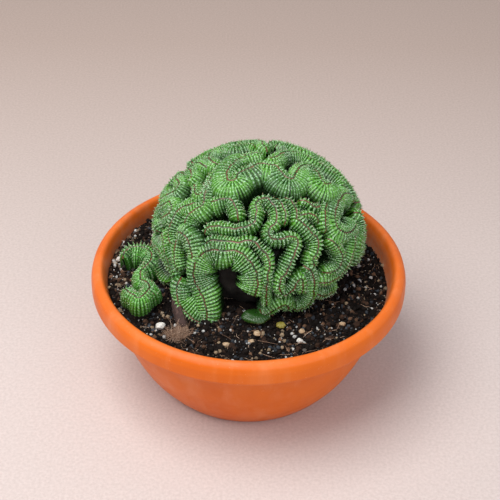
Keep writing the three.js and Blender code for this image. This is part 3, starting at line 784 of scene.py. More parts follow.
# %% Shape and rows of the leaf tips
LEAF_SHAPE = np.array([(-0.5, -0.35, 0), (0.5, -0.35, 0), (0.5, 0.35, 0), (-0.5, 0.35, 0), (0, 0, 1)])
LEAF_WIDTH = np.array([0.95, 0.8, 1.0])
LEAF_BASE = np.array([[3, 2, 1, 0]])
LEAF_SIDES = np.array([[0, 1, 4], [1, 2, 4], [2, 3, 4], [3, 0, 4]])
LEAF_ROWS = [
    (0.55, 0.8, 0.8), (1.7, 1.8, 1.0), (3.0, 1.4, 1.0), (4.4, 1.1, 0.9), (6.0, 1.0, 0.8),
    (8.0, 0.9, 0.7), (10.2, 0.9, 0.6),
]
RED_SHARE, EDGE_REDS, EDGE_ROWS, TIP_REDS, YOUNG_REDS = 0.12, 0.32, 2, 0.85, 0.3
leaf_points, leaf_marks = [], []
print(len(LEAF_ROWS), "rows of leaf tips on each flank")

# %% Leaf tips on a crest


def add_leaves(crest, at_down, size, chance, seed, reds):
    """One leaf on each rib on both flanks, at_down millimetres from the ridge, pointing out and
    away from it. reds is the share of leaves with a red point."""
    pick = np.random.default_rng(seed)
    run, middle, down = crest["run"], crest["middle"], crest["down"]
    ribs = np.arange(RIB_PITCH, run[-1] - RIB_PITCH, RIB_PITCH)
    for way in (-1, 1):
        place = ribs + (0.5 * RIB_PITCH if way > 0 else 0.0) + pick.normal(size=len(ribs)) * 0.12
        row = np.clip(np.searchsorted(run, place), 2, len(run) - 3)
        half = down[row, : middle + 1][:, ::-1] if way < 0 else down[row, middle:]
        column = np.argmax(half > at_down + pick.normal(size=(len(row), 1)) * 0.25, axis=1)
        column = middle - column if way < 0 else middle + column
        root = crest["points"][row, column]
        normal, side = crest["normal"][row, column], crest["side"][row]
        out = crest["outward"][row] * 0.45 + normal * 0.6 + way * side * 0.35
        out = out + pick.normal(size=root.shape) * 0.17
        out /= np.linalg.norm(out, axis=1, keepdims=True)
        wide = np.cross(out, side)
        wide /= np.linalg.norm(wide, axis=1, keepdims=True)
        thin = np.cross(out, wide)
        length = size * pick.uniform(0.55, 1.4, (len(row), 1, 1))
        kept = pick.random(len(row)) < chance
        shape = LEAF_SHAPE[None] * LEAF_WIDTH
        points = root[:, None] - out[:, None] * 0.3 + shape[..., :1] * wide[:, None]
        points = points + shape[..., 1:2] * thin[:, None] + shape[..., 2:] * length * out[:, None]
        tone = np.broadcast_to(pick.random((len(row), 1)), (len(row), len(LEAF_SHAPE)))
        is_point = LEAF_SHAPE[:, 2] > 0.9
        red = np.where(pick.random((len(row), 1)) < reds, 0.8, 0.0) * is_point[None]
        marks = np.stack([red, np.zeros_like(tone), np.ones_like(tone), tone], -1)
        leaf_points.append(points[kept].reshape(-1, 3))
        leaf_marks.append(marks[kept].reshape(-1, 4))


# %% [markdown]
# The crests
# ----------
# Each crest has its name, the widths of its two flanks in millimetres (left and right, walking
# along the ridge), and its ridge. The front and the top are listed one by one, since every fan
# there has a course of its own. Round the back three long ridges wind by a formula; their points
# stand a little further apart, which keeps each piece to a sensible number of faces.

# %% Crest list
CRESTS = {
    "crest_gate": ([14, 14, 14, 16, 16, 9, 6, 6], [6, 6, 6, 6, 7, 10, 13, 12], [
        (-4, -92), (-1, -84), (-1, -77), (-2, -72), (-6, -66), (-11, -61), (-16, -59),
        (-22, -59), (-27, -57), (-32, -57), (-37, -58), (-42, -61), (-46, -65), (-49, -70),
        (-50, -77), (-49, -83), (-47, -90, 3), (-46, -96, 7), (-48, -99, 11), (-52, -97, 13),
        (-57, -92, 13), (-62, -86, 12), (-65, -81, 11), (-66, -77, 10), (-66, -73, 7),
        (-66, -69, 4), (-63, -66, 0),
    ]),
    "crest_winding": (5.5, 6, [
        (-34, -47), (-31, -44), (-26, -43), (-21, -45), (-17, -46), (-12, -47), (-8, -46),
        (-4, -45), (-2, -41), (-2, -36), (-2, -32), (0, -30), (2, -29), (4, -29), (6, -32),
        (8, -34), (9, -38), (9, -42), (8, -45), (5, -47), (5, -50), (7, -53), (10, -53),
        (14, -52), (17, -50), (20, -50), (22, -51), (23, -54), (22, -58), (21, -62), (20, -66),
        (19, -70), (17, -74), (15, -77), (15, -81), (16, -85), (19, -88), (23, -87), (26, -84),
        (27, -80), (28, -76), (30, -74), (32, -76), (34, -81), (35, -88),
    ]),
    "crest_middle": (5, 5, [
        (-35, -52), (-32, -52), (-29, -51), (-25, -52), (-21, -53), (-16, -54), (-12, -55),
        (-7, -54), (-4, -54), (-1, -57), (2, -60), (5, -63), (7, -68), (6, -73), (6, -78),
        (6, -84), (6, -90), (7, -96), (8, -103),
    ]),
    "crest_arch": (6, 9, [
        (-29, -28), (-25, -28), (-20, -28), (-17, -28), (-14, -31), (-13, -34), (-12, -38), (-12, -42),
    ]),
    "crest_long_left": (9, 8, [
        (2, 8), (-5, 5), (-10, 3), (-16, 0), (-20, -3), (-25, -9), (-27, -13), (-29, -18),
        (-30, -23), (-31, -28), (-37, -30), (-41, -31), (-44, -34), (-46, -38),
    ]),
    "crest_fold_inner": (4, 4, [(8, -27), (12, -33), (14, -38), (14, -44)]),
    "crest_fold_outer": (4, 5, [(12, -26), (17, -30), (20, -35), (20, -42)]),
    "crest_fold_third": (4, 4, [(20, -27), (25, -27), (29, -29), (33, -28), (35, -24)]),
    "crest_fold_fourth": (4, 4, [(20, -37), (24, -36), (28, -34), (32, -35), (35, -38)]),
    "crest_fold_side": (4, 5, [(38, -20), (37, -28), (38, -36), (41, -42)]),
    "crest_red_tip": (5, 5, [(-95, -27, 3), (-97, -36, 5), (-96, -47, 5), (-91, -58, 4)]),
    "crest_brow": (6, 14, [
        (-6, 1, 1), (-10, -1, 2), (-13, -5, 3), (-16, -10, 3), (-17, -15, 3), (-15, -19, 3),
        (-12, -18, 3), (-11, -14, 3), (-7, -12, 3), (-4, -10, 3), (0, -7, 3), (3, -8, 3),
        (7, -8, 3), (9, -10, 3), (11, -14, 3), (14, -17, 3), (17, -15, 3), (18, -11, 3),
        (20, -6, 3), (24, -2, 3), (27, -2, 3), (29, -4, 3), (31, -8, 3), (33, -12, 3),
        (36, -12, 3), (38, -9, 2), (38, -4, 1),
    ]),
    "crest_top": (9, 8, [
        (2, 3), (6, 1), (9, 4), (12, 9), (18, 13), (24, 14), (28, 12), (32, 11), (36, 10),
        (40, 9), (44, 8), (49, 6), (53, 2),
    ]),
    "crest_ring": (10.5, 11, [
        (59, 1), (51, -6), (47, -14), (45, -20), (44, -27), (45, -33), (49, -36), (55, -35),
        (60, -31), (63, -25), (64, -18),
    ]),
    "crest_spiral_right": (7, 8, [
        (30, -66), (36, -68), (40, -72), (43, -77), (46, -82), (48, -87), (48, -93), (43, -99), (34, -102),
    ]),
    "crest_right_inner": (7, 7, [
        (18, -38), (24, -41), (30, -45), (34, -47), (36, -50), (37, -54), (35, -60), (36, -63), (40, -66),
    ]),
    "crest_right_hook": (8, 5, [
        (43, -44), (49, -46), (55, -48), (59, -51), (60, -56), (58, -60), (53, -64), (48, -67),
    ]),
    "crest_right_edge": (6, 8, [
        (63, -27), (67, -33), (69, -40), (70, -47), (69, -54), (66, -61), (61, -67), (55, -71),
        (49, -73), (46, -76),
    ]),
    "crest_right_foot": (8, 8, [(50, -83), (57, -82), (64, -79), (70, -73), (75, -66)]),
    "crest_left_thick": (9, 10, [
        (-52, -37, 2), (-47, -41, 4), (-43, -45, 4), (-42, -51, 3), (-43, -57, 2), (-46, -62),
    ]),
    "crest_left_brow": (8, 10, [
        (-35, -24), (-39, -25), (-45, -24), (-50, -25), (-55, -29), (-59, -33), (-61, -38), (-60, -44),
    ]),
    "crest_left_edge": (6, 8, [(-52, -40), (-56, -45), (-60, -50), (-63, -57), (-64, -63)]),
    "crest_left_fold": (6, 7, [
        (-22, -10), (-26, -15), (-30, -18), (-33, -21), (-36, -18), (-36, -12), (-39, -9),
    ]),
    "crest_top_left": (9, 9, [
        (-2, 19), (-7, 21), (-14, 18), (-20, 24), (-25, 23), (-28, 17), (-28, 9), (-25, 3), (-22, 1),
    ]),
    "crest_shoulder": (8, 9, [(-29, 1), (-33, 7), (-37, 12), (-41, 10), (-39, 3), (-38, -3), (-43, -5)]),
    "crest_shoulder_low": (8, 8, [
        (-46, 13), (-51, 13), (-50, 5), (-47, -1), (-49, -7), (-55, -5), (-61, -2), (-66, 2),
        (-65, 9), (-61, 13),
    ]),
    "crest_left_loop": (7, 8, [
        (-68, -18), (-62, -20), (-56, -22), (-53, -18), (-56, -12), (-63, -9), (-70, -5),
        (-76, -2), (-79, -8), (-77, -15), (-76, -22),
    ]),
    "crest_left_foot": (8, 9, [
        (-88, -10), (-88, -19), (-84, -27), (-79, -35), (-76, -43), (-76, -51), (-79, -58),
    ]),
    "crest_left_base": (8, 8, [(-68, -26), (-67, -34), (-70, -41), (-70, -50), (-73, -57), (-75, -64)]),
    "crest_front_foot": (7, 7, [
        (1, -107), (7, -109), (13, -104), (20, -98), (25, -96), (29, -100), (27, -106),
    ]),
    "crest_top_right": (8, 8, [
        (8, 25), (14, 29), (20, 26), (26, 25), (32, 27), (38, 23), (44, 20), (50, 17), (56, 14),
        (61, 8), (66, 3),
    ]),
    "crest_right_side": (9, 9, [
        (64, -10), (70, -8), (76, -12), (78, -20), (78, -29), (82, -37), (85, -45),
    ]),
    "crest_crown": (7, 7, [(4, 14), (1, 19), (1, 25), (-3, 30), (-9, 31), (-15, 30)]),
    "crest_crown_back": (7, 7, [(4, 34), (10, 36), (17, 36), (24, 35)]),
    "crest_back_high": (6.5, 6.5, winding_ridge(-60, 64, 48, 8, 6, 3)),
    "crest_back_middle": (6.5, 6.5, winding_ridge(82, -84, 70, 8, 9, -2)),
    "crest_back_low": (6.5, 6.5, winding_ridge(-96, 110, 94, 8, 12, 1.5)),
}
CREST_DEPTH = 21.0
BACK_STEP = 0.58
ROUND_TOP, BOXY_TOP, BOXY_WIDTH = 2.6, 3.6, 12
print(len(CRESTS), "crests")

# %% Build the crests
FACING, FACING_SHARE = {"crest_gate": (0.0, -0.90, 0.44)}, 0.8
ALSO_STANDS_FOR = {"crest_gate": ["crest_front_lobe"]}
ridge_total = 0.0
face_total = 0
for number, (name, (left, right_width, ridge)) in enumerate(CRESTS.items()):
    widest = max(np.max(left), np.max(right_width))
    step = BACK_STEP if name.startswith("crest_back") else STEP
    path = ridge_path(ridge_corners(ridge), crown_outward, widest, step)
    outward = crown_outward(path)
    if name in FACING:
        outward = (1 - FACING_SHARE) * outward + FACING_SHARE * np.array(FACING[name])
        outward /= np.linalg.norm(outward, axis=1, keepdims=True)
    square = BOXY_TOP if widest > BOXY_WIDTH else ROUND_TOP
    crest = crest_surface(path, outward, left, right_width, CREST_DEPTH, square, 11 * number)
    skin = add_tube(name + "_skin", crest["points"], crest["marks"], turned=True)
    finish_piece(skin, "plant_skin", plant_material, name, *ALSO_STANDS_FOR.get(name, []))
    reds = TIP_REDS if name == "crest_red_tip" else RED_SHARE
    for k, (at_down, size, chance) in enumerate(LEAF_ROWS):
        row_reds = max(reds, EDGE_REDS if k < EDGE_ROWS else 0.0)
        add_leaves(crest, at_down, size, chance, 500 + 40 * k + number, row_reds)
    ridge_total += crest["run"][-1]
    face_total += len(skin.data.polygons)
print("ridges, end to end:", round(ridge_total), "mm;", face_total, "faces")

# %% [markdown]
# The young crest
# ---------------
# A separate young crest stands in the soil beside the crown: two lobes that open to the left,
# brighter, with longer leaf tips. It is the same kind of surface, on a ridge given directly in
# millimetres, as it doesn't follow the crown. Where its flanks end a little above the soil, a
# narrow foot in the old stem's near-black finish fills the gap under it: it stands for the young
# crest's stem, and its near-black colour is painted shade under the lobes.

# %% Young crest
OFFSET_RIDGE = [
    (-92.3, -3.8, 102), (-90.3, 0.9, 103), (-86.7, 3.6, 104), (-82.2, 3.7, 105), (-77.6, 3.1, 105),
    (-73.3, 0.4, 105), (-70.6, -4.8, 105), (-70.3, -8.6, 104), (-71.7, -12.5, 103),
    (-73.5, -14.9, 102), (-75.8, -16.6, 101), (-77.4, -19.6, 100), (-77.4, -24.6, 100),
    (-75.9, -30.8, 101), (-73.0, -33.1, 102), (-70.1, -37.0, 103), (-68.8, -42.4, 104),
    (-70.1, -46.2, 104), (-71.7, -50.0, 104), (-73.6, -52.6, 103.5), (-77.1, -52.7, 103),
    (-80.3, -49.6, 103), (-83.5, -45.6, 102.5), (-88.8, -39.0, 101),
]
OFFSET_LEFT = [4, 5, 6, 6.5, 7, 7, 5, 5, 6.5, 7, 6, 5, 5, 4]
OFFSET_RIGHT = [8, 10, 10, 10, 8, 6, 6, 6, 6, 8, 8, 8, 8, 6]
OFFSET_DEPTH, OFFSET_TOP = 12.5, 2.4
# How strong the painted shade in the young crest's folds is.
OFFSET_FOLD_SHADE = 0.45
OFFSET_LEAVES = 1.5
FOOT_DROP, FOOT_WIDTH, FOOT_DEPTH = np.array([0.0, 0.0, 8.0]), 3.2, 16.0


def offset_outward(points):
    """Direction out of the young crest: up, and a little towards the front."""
    return np.broadcast_to(np.array([0.0, -0.12, 0.9928]), points.shape)


offset_path = ridge_path(np.array(OFFSET_RIDGE, float), offset_outward, max(OFFSET_RIGHT))
facing = offset_outward(offset_path)
young = crest_surface(
    offset_path, facing, OFFSET_LEFT, OFFSET_RIGHT, OFFSET_DEPTH, OFFSET_TOP, 777
)
young["marks"][..., 1] *= OFFSET_FOLD_SHADE
offset = add_tube("offset_crest_skin", young["points"], young["marks"], turned=True)
finish_piece(offset, "young_plant_skin", young_material, "offset_crest")
foot_path = offset_path[::4] - FOOT_DROP
foot = crest_surface(
    foot_path, facing[::4], FOOT_WIDTH, FOOT_WIDTH, FOOT_DEPTH, ROUND_TOP, 779
)
for k, (at_down, size, chance) in enumerate(LEAF_ROWS):
    add_leaves(young, at_down, size * OFFSET_LEAVES, chance, 778 + k, YOUNG_REDS)
print("young crest:", round(young["run"][-1]), "mm of ridge")

# %% Gather the leaf tips into one piece
leaf_material, leaf_tree, leaf_shader = new_material("leaf tips")
leaf_red, _, _, leaf_tone = marks_of(leaf_tree)
LEAF_GREENS = [(0.0, (0.10, 0.26, 0.06)), (0.5, (0.24, 0.43, 0.19)), (1.0, (0.50, 0.66, 0.46))]
leaf_colour = ramp(leaf_tree, leaf_tone, LEAF_GREENS)
leaf_colour = blend(leaf_tree, leaf_red, leaf_colour, (0.26, 0.05, 0.04))
leaf_tree.links.new(leaf_colour, leaf_shader.inputs["Base Color"])
leaf_shader.inputs["Roughness"].default_value = 0.4
leaf_cloud = np.concatenate(leaf_points)
leaf_count = len(leaf_cloud) // len(LEAF_SHAPE)
shift = (np.arange(leaf_count) * len(LEAF_SHAPE))[:, None, None]
leaf_faces = [(LEAF_BASE[None] + shift).reshape(-1, 4), (LEAF_SIDES[None] + shift).reshape(-1, 3)]
leaves = add_mesh("leaf_tips", leaf_cloud, leaf_faces, np.concatenate(leaf_marks))
finish_piece(leaves, "plant_skin", leaf_material)
print("leaf tips:", leaf_count)

# %% [markdown]
# The old stem
# ------------
# Under the crests is the fused old stem. Only slivers of it show, deep in the folds, so it needs
# no modelling by hand: it is a bumpy egg, rough and near-black, and its use is that no gap between
# two crests lets one look right through the plant. Its near-black colour is painted shade for the
# deep gaps between the crests. The young crest's foot has the same near-black finish.

# %% Old stem
STEM_DEPTH = 15.5


def stem_points(rows, columns):
    """An egg: the crown's outline drawn in by STEM_DEPTH, with bumps of a millimetre or so."""
    fall = np.linspace(0.03, np.pi * 0.72, rows)[:, None]
    angle = np.linspace(0, 2 * np.pi, columns, endpoint=False)[None, :]
    x, y, z = np.sin(fall) * np.cos(angle), np.sin(fall) * np.sin(angle), np.cos(fall) + 0 * angle
    way = np.stack([x, y, z], -1)
    bumps = waves(way * 60, 14.0, 31) * 1.2 + waves(way * 60, 5.0, 32) * 0.5
    return CROWN_CENTRE + way * (CROWN_RADII - STEM_DEPTH + bumps[..., None])


STEM_ROWS, STEM_COLUMNS = 90, 160
# The old stem's near-black browns are painted shade for the gaps between the crests.
STEM_SHADE_BROWNS = [(0.3, (0.004, 0.003, 0.002)), (0.7, (0.014, 0.010, 0.007))]
stem_shade_material = mottled_material("old stem", (0.006, 3.0, 0.55), STEM_SHADE_BROWNS, 0.85)
stem = add_tube("old_stem", stem_points(STEM_ROWS, STEM_COLUMNS))
finish_piece(stem, "woody_bark", stem_shade_material, "woody_stem")
# The young crest's foot wears the same near-black finish, painted shade under its lobes.
offset_shade_foot = add_tube("offset_shade_foot", foot["points"], turned=True)
finish_piece(offset_shade_foot, "woody_bark", stem_shade_material)
print("stem and young foot:", len(stem.data.polygons) + len(offset_shade_foot.data.polygons), "faces")

# %% [markdown]
# Bowl plastic
# ------------
# The bowl is satin orange plastic. Each point of the turned profile carries a mark for how dusty
# it is: none outside, some over the rim, most inside where the soil has dried on the wall. Noise
# breaks the dust into patches, and noise stretched along Z gives faint upright streaks.

# %% Bowl plastic


def stretched_noise(tree, scale, detail=3.0):
    """Noise in object space with a scale of its own along each axis, in patches per metre."""
    place = tree.nodes.new("ShaderNodeTexCoord")
    mapping = tree.nodes.new("ShaderNodeMapping")
    node = tree.nodes.new("ShaderNodeTexNoise")
    mapping.inputs["Scale"].default_value = scale
    node.inputs["Scale"].default_value = 1.0
    node.inputs["Detail"].default_value = detail
    tree.links.new(place.outputs["Object"], mapping.inputs["Vector"])
    tree.links.new(mapping.outputs["Vector"], node.inputs["Vector"])
    return node.outputs["Fac"]


DARK_ORANGE, LIGHT_ORANGE = (0.69, 0.122, 0.003), (0.76, 0.150, 0.006)
STREAK_ORANGE = (0.92, 0.42, 0.22)
DUST_COLOUR, SCUFF_COLOUR = (0.42, 0.26, 0.19), (0.95, 0.50, 0.30)
bowl_material, bowl_tree, bowl_shader = new_material("orange plastic")
dusty = marks_of(bowl_tree)[0]
clouds = stretch(bowl_tree, noise(bowl_tree, 0.05), 0.35, 0.65)
orange = blend(bowl_tree, clouds, DARK_ORANGE, LIGHT_ORANGE)
streaks = stretch(bowl_tree, stretched_noise(bowl_tree, (90, 90, 6)), 0.5, 0.75, 0.0, 0.16)
orange = blend(bowl_tree, streaks, orange, STREAK_ORANGE)
patches = reckon(bowl_tree, "ADD", noise(bowl_tree, 0.012, 4.0, 0.6), noise(bowl_tree, 0.0022, 3.0))
dust = reckon(bowl_tree, "MULTIPLY", dusty, stretch(bowl_tree, patches, 0.8, 1.25, 0.35, 1.0))
plastic = blend(bowl_tree, dust, orange, DUST_COLOUR)
scuffs = stretch(bowl_tree, noise(bowl_tree, 0.0011, 2.0), 0.68, 0.76, 0.0, 0.30)
plastic = blend(bowl_tree, scuffs, plastic, SCUFF_COLOUR)
bowl_tree.links.new(plastic, bowl_shader.inputs["Base Color"])
satin = stretch(bowl_tree, noise(bowl_tree, 0.01), 0.3, 0.7, 0.36, 0.50)
rough = reckon(bowl_tree, "ADD", satin, reckon(bowl_tree, "MULTIPLY", dust, 0.4))
bowl_tree.links.new(rough, bowl_shader.inputs["Roughness"])
bowl_shader.inputs["Specular IOR Level"].default_value = 0.28
bump(bowl_tree, bowl_shader, noise(bowl_tree, 0.0012, 3.0), 0.00006)
finish_piece(bowl, "bowl_plastic", bowl_material, "bowl")
print("bowl finish:", len(bowl_tree.nodes), "nodes")

# %% [markdown]
# The soil
# --------
# The potting mix lies a little lower at the bowl's wall and leans to one side. Its surface is a
# height field: a grid of rings and spokes whose height is the level of the soil plus clods and
# hollows from smooth noise. A ring grid fits the round bowl to its wall without any cutting, and
# a last ring straight down gives the soil a side, so that it is a closed piece.

# %% Soil surface
SOIL_RINGS, SOIL_SPOKES = 110, 330


def soil_relief(x, y):
    """Clods and hollows added to the level of the soil: three sizes of smooth noise."""
    flat = np.stack([x, y], -1)
    clods = 0.9 * waves(flat, 13.0, 41) + 0.7 * np.abs(waves(flat, 4.0, 42))
    return clods + 0.35 * waves(flat, 1.7, 43) - 0.5


soil_edge = NECK_RADIUS - BOWL_WALL - 0.6
radius = np.linspace(0.01, 1, SOIL_RINGS)[:, None] ** 0.75 * soil_edge
angle = np.linspace(0, 2 * np.pi, SOIL_SPOKES, endpoint=False)[None, :]
x, y = radius * np.cos(angle), radius * np.sin(angle)
soil_top = np.stack([x, y, soil_height(x, y) + soil_relief(x, y)], -1)
soil_skirt = np.stack([x[-1:], y[-1:], np.full_like(x[-1:], SOIL_HEIGHT - 14)], -1)
soil_points = np.concatenate([soil_top, soil_skirt])
SOIL_BROWNS = [
    (0.35, (0.003, 0.002, 0.0016)), (0.58, (0.008, 0.005, 0.0042)), (0.8, (0.05, 0.028, 0.018)),
]
soil_material = mottled_material("potting soil", (0.0016, 5.0, 0.7), SOIL_BROWNS, 0.95, 0.0008, 0.15)
soil = add_tube("soil_bed", soil_points)
finish_piece(soil, "soil", soil_material, "potting_soil")
print("soil:", len(soil.data.polygons), "faces")

# %% [markdown]
# Crumbs and grit
# ---------------
# On the real soil lie bark crumbs, clods and fine grit of several colours. Each kind is one piece
# made of many small closed shapes, since thousands of separate objects would be slow to handle. A
# lump starts as a twenty-sided ball whose twelve corners are each moved a little at random, so no
# two are alike.

# %% A small ball
GOLDEN = (1 + 5**0.5) / 2
BALL = np.array([(0, a, b * GOLDEN) for a in (-1, 1) for b in (-1, 1)], float)
BALL = np.concatenate([BALL, BALL[:, [1, 2, 0]], BALL[:, [2, 0, 1]]]) / np.hypot(1, GOLDEN)


def ball_faces():
    """The twenty triangles of the ball: every three corners that are all one edge apart, turned
    to face outwards."""
    gap = np.linalg.norm(BALL[:, None] - BALL[None], axis=-1)
    near = np.abs(gap - gap[gap > 0.1].min()) < 1e-6
    i, j, k = np.nonzero(near[:, :, None] & near[None, :, :] & near[:, None, :])
    keep = (i < j) & (j < k)
    faces = np.stack([i, j, k], -1)[keep]
    a, b, c = (BALL[faces[:, n]] for n in range(3))
    inward = np.einsum("ij,ij->i", np.cross(b - a, c - a), a) < 0
    faces[inward] = faces[inward][:, ::-1]
    return faces


BALL_FACES = ball_faces()
print("a lump has", len(BALL_FACES), "faces")

# %% Random turns and places


def random_turns(count, pick):
    """Rotation matrices from random unit quaternions."""
    w, x, y, z = (pick.normal(size=(count, 4)) + 1e-9).T
    size = np.sqrt(w * w + x * x + y * y + z * z)
    w, x, y, z = w / size, x / size, y / size, z / size
    rows = [
        [1 - 2 * (y * y + z * z), 2 * (x * y - z * w), 2 * (x * z + y * w)],
        [2 * (x * y + z * w), 1 - 2 * (x * x + z * z), 2 * (y * z - x * w)],
        [2 * (x * z - y * w), 2 * (y * z + x * w), 1 - 2 * (x * x + y * y)],
    ]
    return np.array(rows).transpose(2, 0, 1)


def open_places(count, pick):
    """Random places on the soil that the crown leaves open."""
    x, y = pick.uniform(-1, 1, (2, count * 6)) * soil_edge
    inside = np.hypot(x, y) < soil_edge - 0.8
    uncovered = ((x - CROWN_CENTRE[0]) / 70) ** 2 + ((y - CROWN_CENTRE[1]) / 68) ** 2 > 0.72
    keep = np.nonzero(inside & uncovered)[0][:count]
    return x[keep], y[keep]


# %% Lumps on the soil
FLATNESS = 0.7
LUMP_CORNERS = len(BALL)
LIGHT_SIDE, LIGHT_POWER = [-95, -50], [0.4, 1.0]


def add_bits(name, count, sizes, sink, slot, material, seed):
    """Thousands of small lumps on the soil as one piece. Corner = place + turn * (size * (ball
    corner * squash + jitter)); the size is drawn so that small ones are the most common. Each
    lump's tone is a random number, which is raised towards -X, from x = -50 to -95 mm."""
    pick = np.random.default_rng(seed)
    x, y = open_places(count, pick)
    count = len(x)
    size = sizes[0] * (sizes[1] / sizes[0]) ** (pick.random(count) ** 2.2)
    squash = pick.uniform(FLATNESS, 1.15, (count, 1, 3))
    shape = BALL[None] * squash + pick.normal(size=(count, LUMP_CORNERS, 3)) * 0.10
    turned = np.einsum("nij,nkj->nki", random_turns(count, pick), shape) * size[:, None, None]
    height = soil_height(x, y) + soil_relief(x, y) + size * (0.6 - sink)
    points = turned + np.stack([x, y, height], -1)[:, None]
    shift = (np.arange(count) * LUMP_CORNERS)[:, None, None]
    faces = (BALL_FACES[None] + shift).reshape(-1, 3)
    tone = pick.random((count, 4))
    tone[:, 0] **= np.interp(x, LIGHT_SIDE, LIGHT_POWER)
    tone = np.repeat(tone, LUMP_CORNERS, axis=0)
    bits = add_mesh(name, points.reshape(-1, 3), [faces], tone, smooth=False)
    finish_piece(bits, slot, material)
    print(name + ":", count)


def bits_material(name, stops, roughness, grain_size):
    """A finish whose colour is picked for each lump by its own random number, then mottled."""
    material, tree, shader = new_material(name)
    pick = marks_of(tree)[0]
    colour = ramp(tree, pick, stops)
    grain = noise(tree, grain_size, 4.0, 0.65)
    colour = blend(tree, stretch(tree, grain, 0.3, 0.7, 0.0, 0.55), colour, (0.010, 0.007, 0.005))
    tree.links.new(colour, shader.inputs["Base Color"])
    shader.inputs["Roughness"].default_value = roughness
    shader.inputs["Specular IOR Level"].default_value = 0.2
    bump(tree, shader, grain, 0.0003)
    return material


# %% Crumbs and grit
CRUMB_BROWNS = [
    (0.0, (0.004, 0.0025, 0.002)), (0.72, (0.009, 0.0055, 0.0045)), (0.9, (0.055, 0.027, 0.016)),
    (1.0, (0.20, 0.11, 0.065)),
]
GRIT_COLOURS = [
    (0.0, (0.022, 0.028, 0.036)), (0.5, (0.06, 0.075, 0.095)), (0.62, (0.30, 0.22, 0.14)),
    (0.8, (0.42, 0.31, 0.20)), (0.84, (0.62, 0.62, 0.60)), (1.0, (0.75, 0.75, 0.73)),
]
crumb_material = bits_material("bark crumbs", CRUMB_BROWNS, 0.9, 0.0012)
grit_material = bits_material("grit", GRIT_COLOURS, 0.7, 0.0010)
add_bits("soil_crumbs", 6500, (0.45, 2.4), 0.35, "soil", crumb_material, 61)
add_bits("soil_grit", 2500, (0.4, 1.9), 0.1, "gravel", grit_material, 62)
add_bits("soil_clods", 90, (2.2, 4.0), 0.8, "soil", crumb_material, 63)

# %% [markdown]
# Coir fibres
# -----------
# Some fibres of the mix lie loose on the soil, and a tuft of them stands beside the root like
# felt. Hair would be the usual way, but hair is not a mesh that can be handed on. So each fibre
# is a thin three-sided strip along a bent line, closed at both ends.

# %% Fibres
FIBRE_STEPS = 7


def fibre_points(start, heading, length, curl, thickness):
    """Each fibre's middle line is start + heading * length * t + curl * length * t squared, and a
    ripple; three corners stand round it at the fibre's thickness."""
    count = len(start)
    t = np.linspace(0, 1, FIBRE_STEPS)[None, :, None]
    line = start[:, None] + heading[:, None] * length[:, None, None] * t
    line = line + curl[:, None] * length[:, None, None] * (t**2 + 0.15 * np.sin(9 * t))
    across = np.cross(heading, curl + 1e-3)
    across /= np.linalg.norm(across, axis=1, keepdims=True)
    over = np.cross(heading, across)
    corner = np.linspace(0, 2 * np.pi, 3, endpoint=False)
    ring = np.cos(corner)[:, None] * across[:, None] + np.sin(corner)[:, None] * over[:, None]
    taper = thickness * (1 - 0.6 * np.abs(np.linspace(-1, 1, FIBRE_STEPS)) ** 3)
    points = line[:, :, None] + ring[:, None] * taper[None, :, None, None]
    return points.reshape(count, -1, 3)


def fibre_faces(count):
    """Three strips along each fibre and a cap at each end."""
    side = grid_faces(FIBRE_STEPS, 3)[:, ::-1]
    last = (FIBRE_STEPS - 1) * 3
    shift = (np.arange(count) * FIBRE_STEPS * 3)[:, None, None]
    caps = np.array([[0, 1, 2], [last + 2, last + 1, last]])
    return [(side[None] + shift).reshape(-1, 4), (caps[None] + shift).reshape(-1, 3)]


coir_material, coir_tree, coir_shader = new_material("coir")
COIR_BROWNS = [(0.0, (0.18, 0.10, 0.06)), (0.6, (0.44, 0.28, 0.19)), (1.0, (0.68, 0.50, 0.38))]
coir_colour = ramp(coir_tree, marks_of(coir_tree)[0], COIR_BROWNS)
coir_tree.links.new(coir_colour, coir_shader.inputs["Base Color"])
coir_shader.inputs["Roughness"].default_value = 0.9


def add_fibres(name, start, heading, length, curl, thickness, pick, *nodes):
    """The fibres as one piece, each with its own shade."""
    points = fibre_points(start, heading, length, curl, thickness)
    shade = np.repeat(pick.random((len(start), 4)), FIBRE_STEPS * 3, axis=0)
    piece = add_mesh(name, points.reshape(-1, 3), fibre_faces(len(start)), shade)
    finish_piece(piece, "coir", coir_material, *nodes)
    print(name + ":", len(start))


# %% Tuft and loose fibres
pick = np.random.default_rng(71)
CLUMP_PLACE = np.array([-48.0, -71.0])
CLUMP_SIZE = np.array([11.0, 7.5, 4.6])
LOOSE_COUNT = 260
count = 900
way = pick.normal(size=(count, 3))
way /= np.linalg.norm(way, axis=1, keepdims=True)
place = way * pick.random((count, 1)) ** 0.4 * CLUMP_SIZE * 0.8
place[:, 2] = np.abs(place[:, 2]) * 0.95
start = place + np.array([*CLUMP_PLACE, soil_height(*CLUMP_PLACE)])
heading = np.cross(way, pick.normal(size=(count, 3))) + way * 0.25
heading /= np.linalg.norm(heading, axis=1, keepdims=True)
curl = pick.normal(size=(count, 3)) * 0.45
add_fibres("coir_tuft", start, heading, pick.uniform(2.0, 6.0, count), curl, 0.13, pick, "fibre_clump")

x, y = open_places(LOOSE_COUNT, pick)
start = np.stack([x, y, soil_height(x, y) + soil_relief(x, y) + 0.7], -1)
turn_angle = pick.uniform(0, 2 * np.pi, len(x))
heading = np.stack([np.cos(turn_angle), np.sin(turn_angle), pick.normal(size=len(x)) * 0.12], -1)
curl = pick.normal(size=(len(x), 3)) * np.array([0.4, 0.4, 0.06])
add_fibres("loose_fibres", start, heading, pick.uniform(4.0, 13.0, len(x)), curl, 0.16, pick)

# %% [markdown]
# The stones
# ----------
# The larger stones, white pumice and tan or grey gravel, are broken pieces with worn edges. Each
# is a rounded polyhedron: a ball's radius in each direction is limited by a few random planes,
# and the limits are joined softly, which gives flat facets with round edges and needs no bevel.

# %% Stone shapes


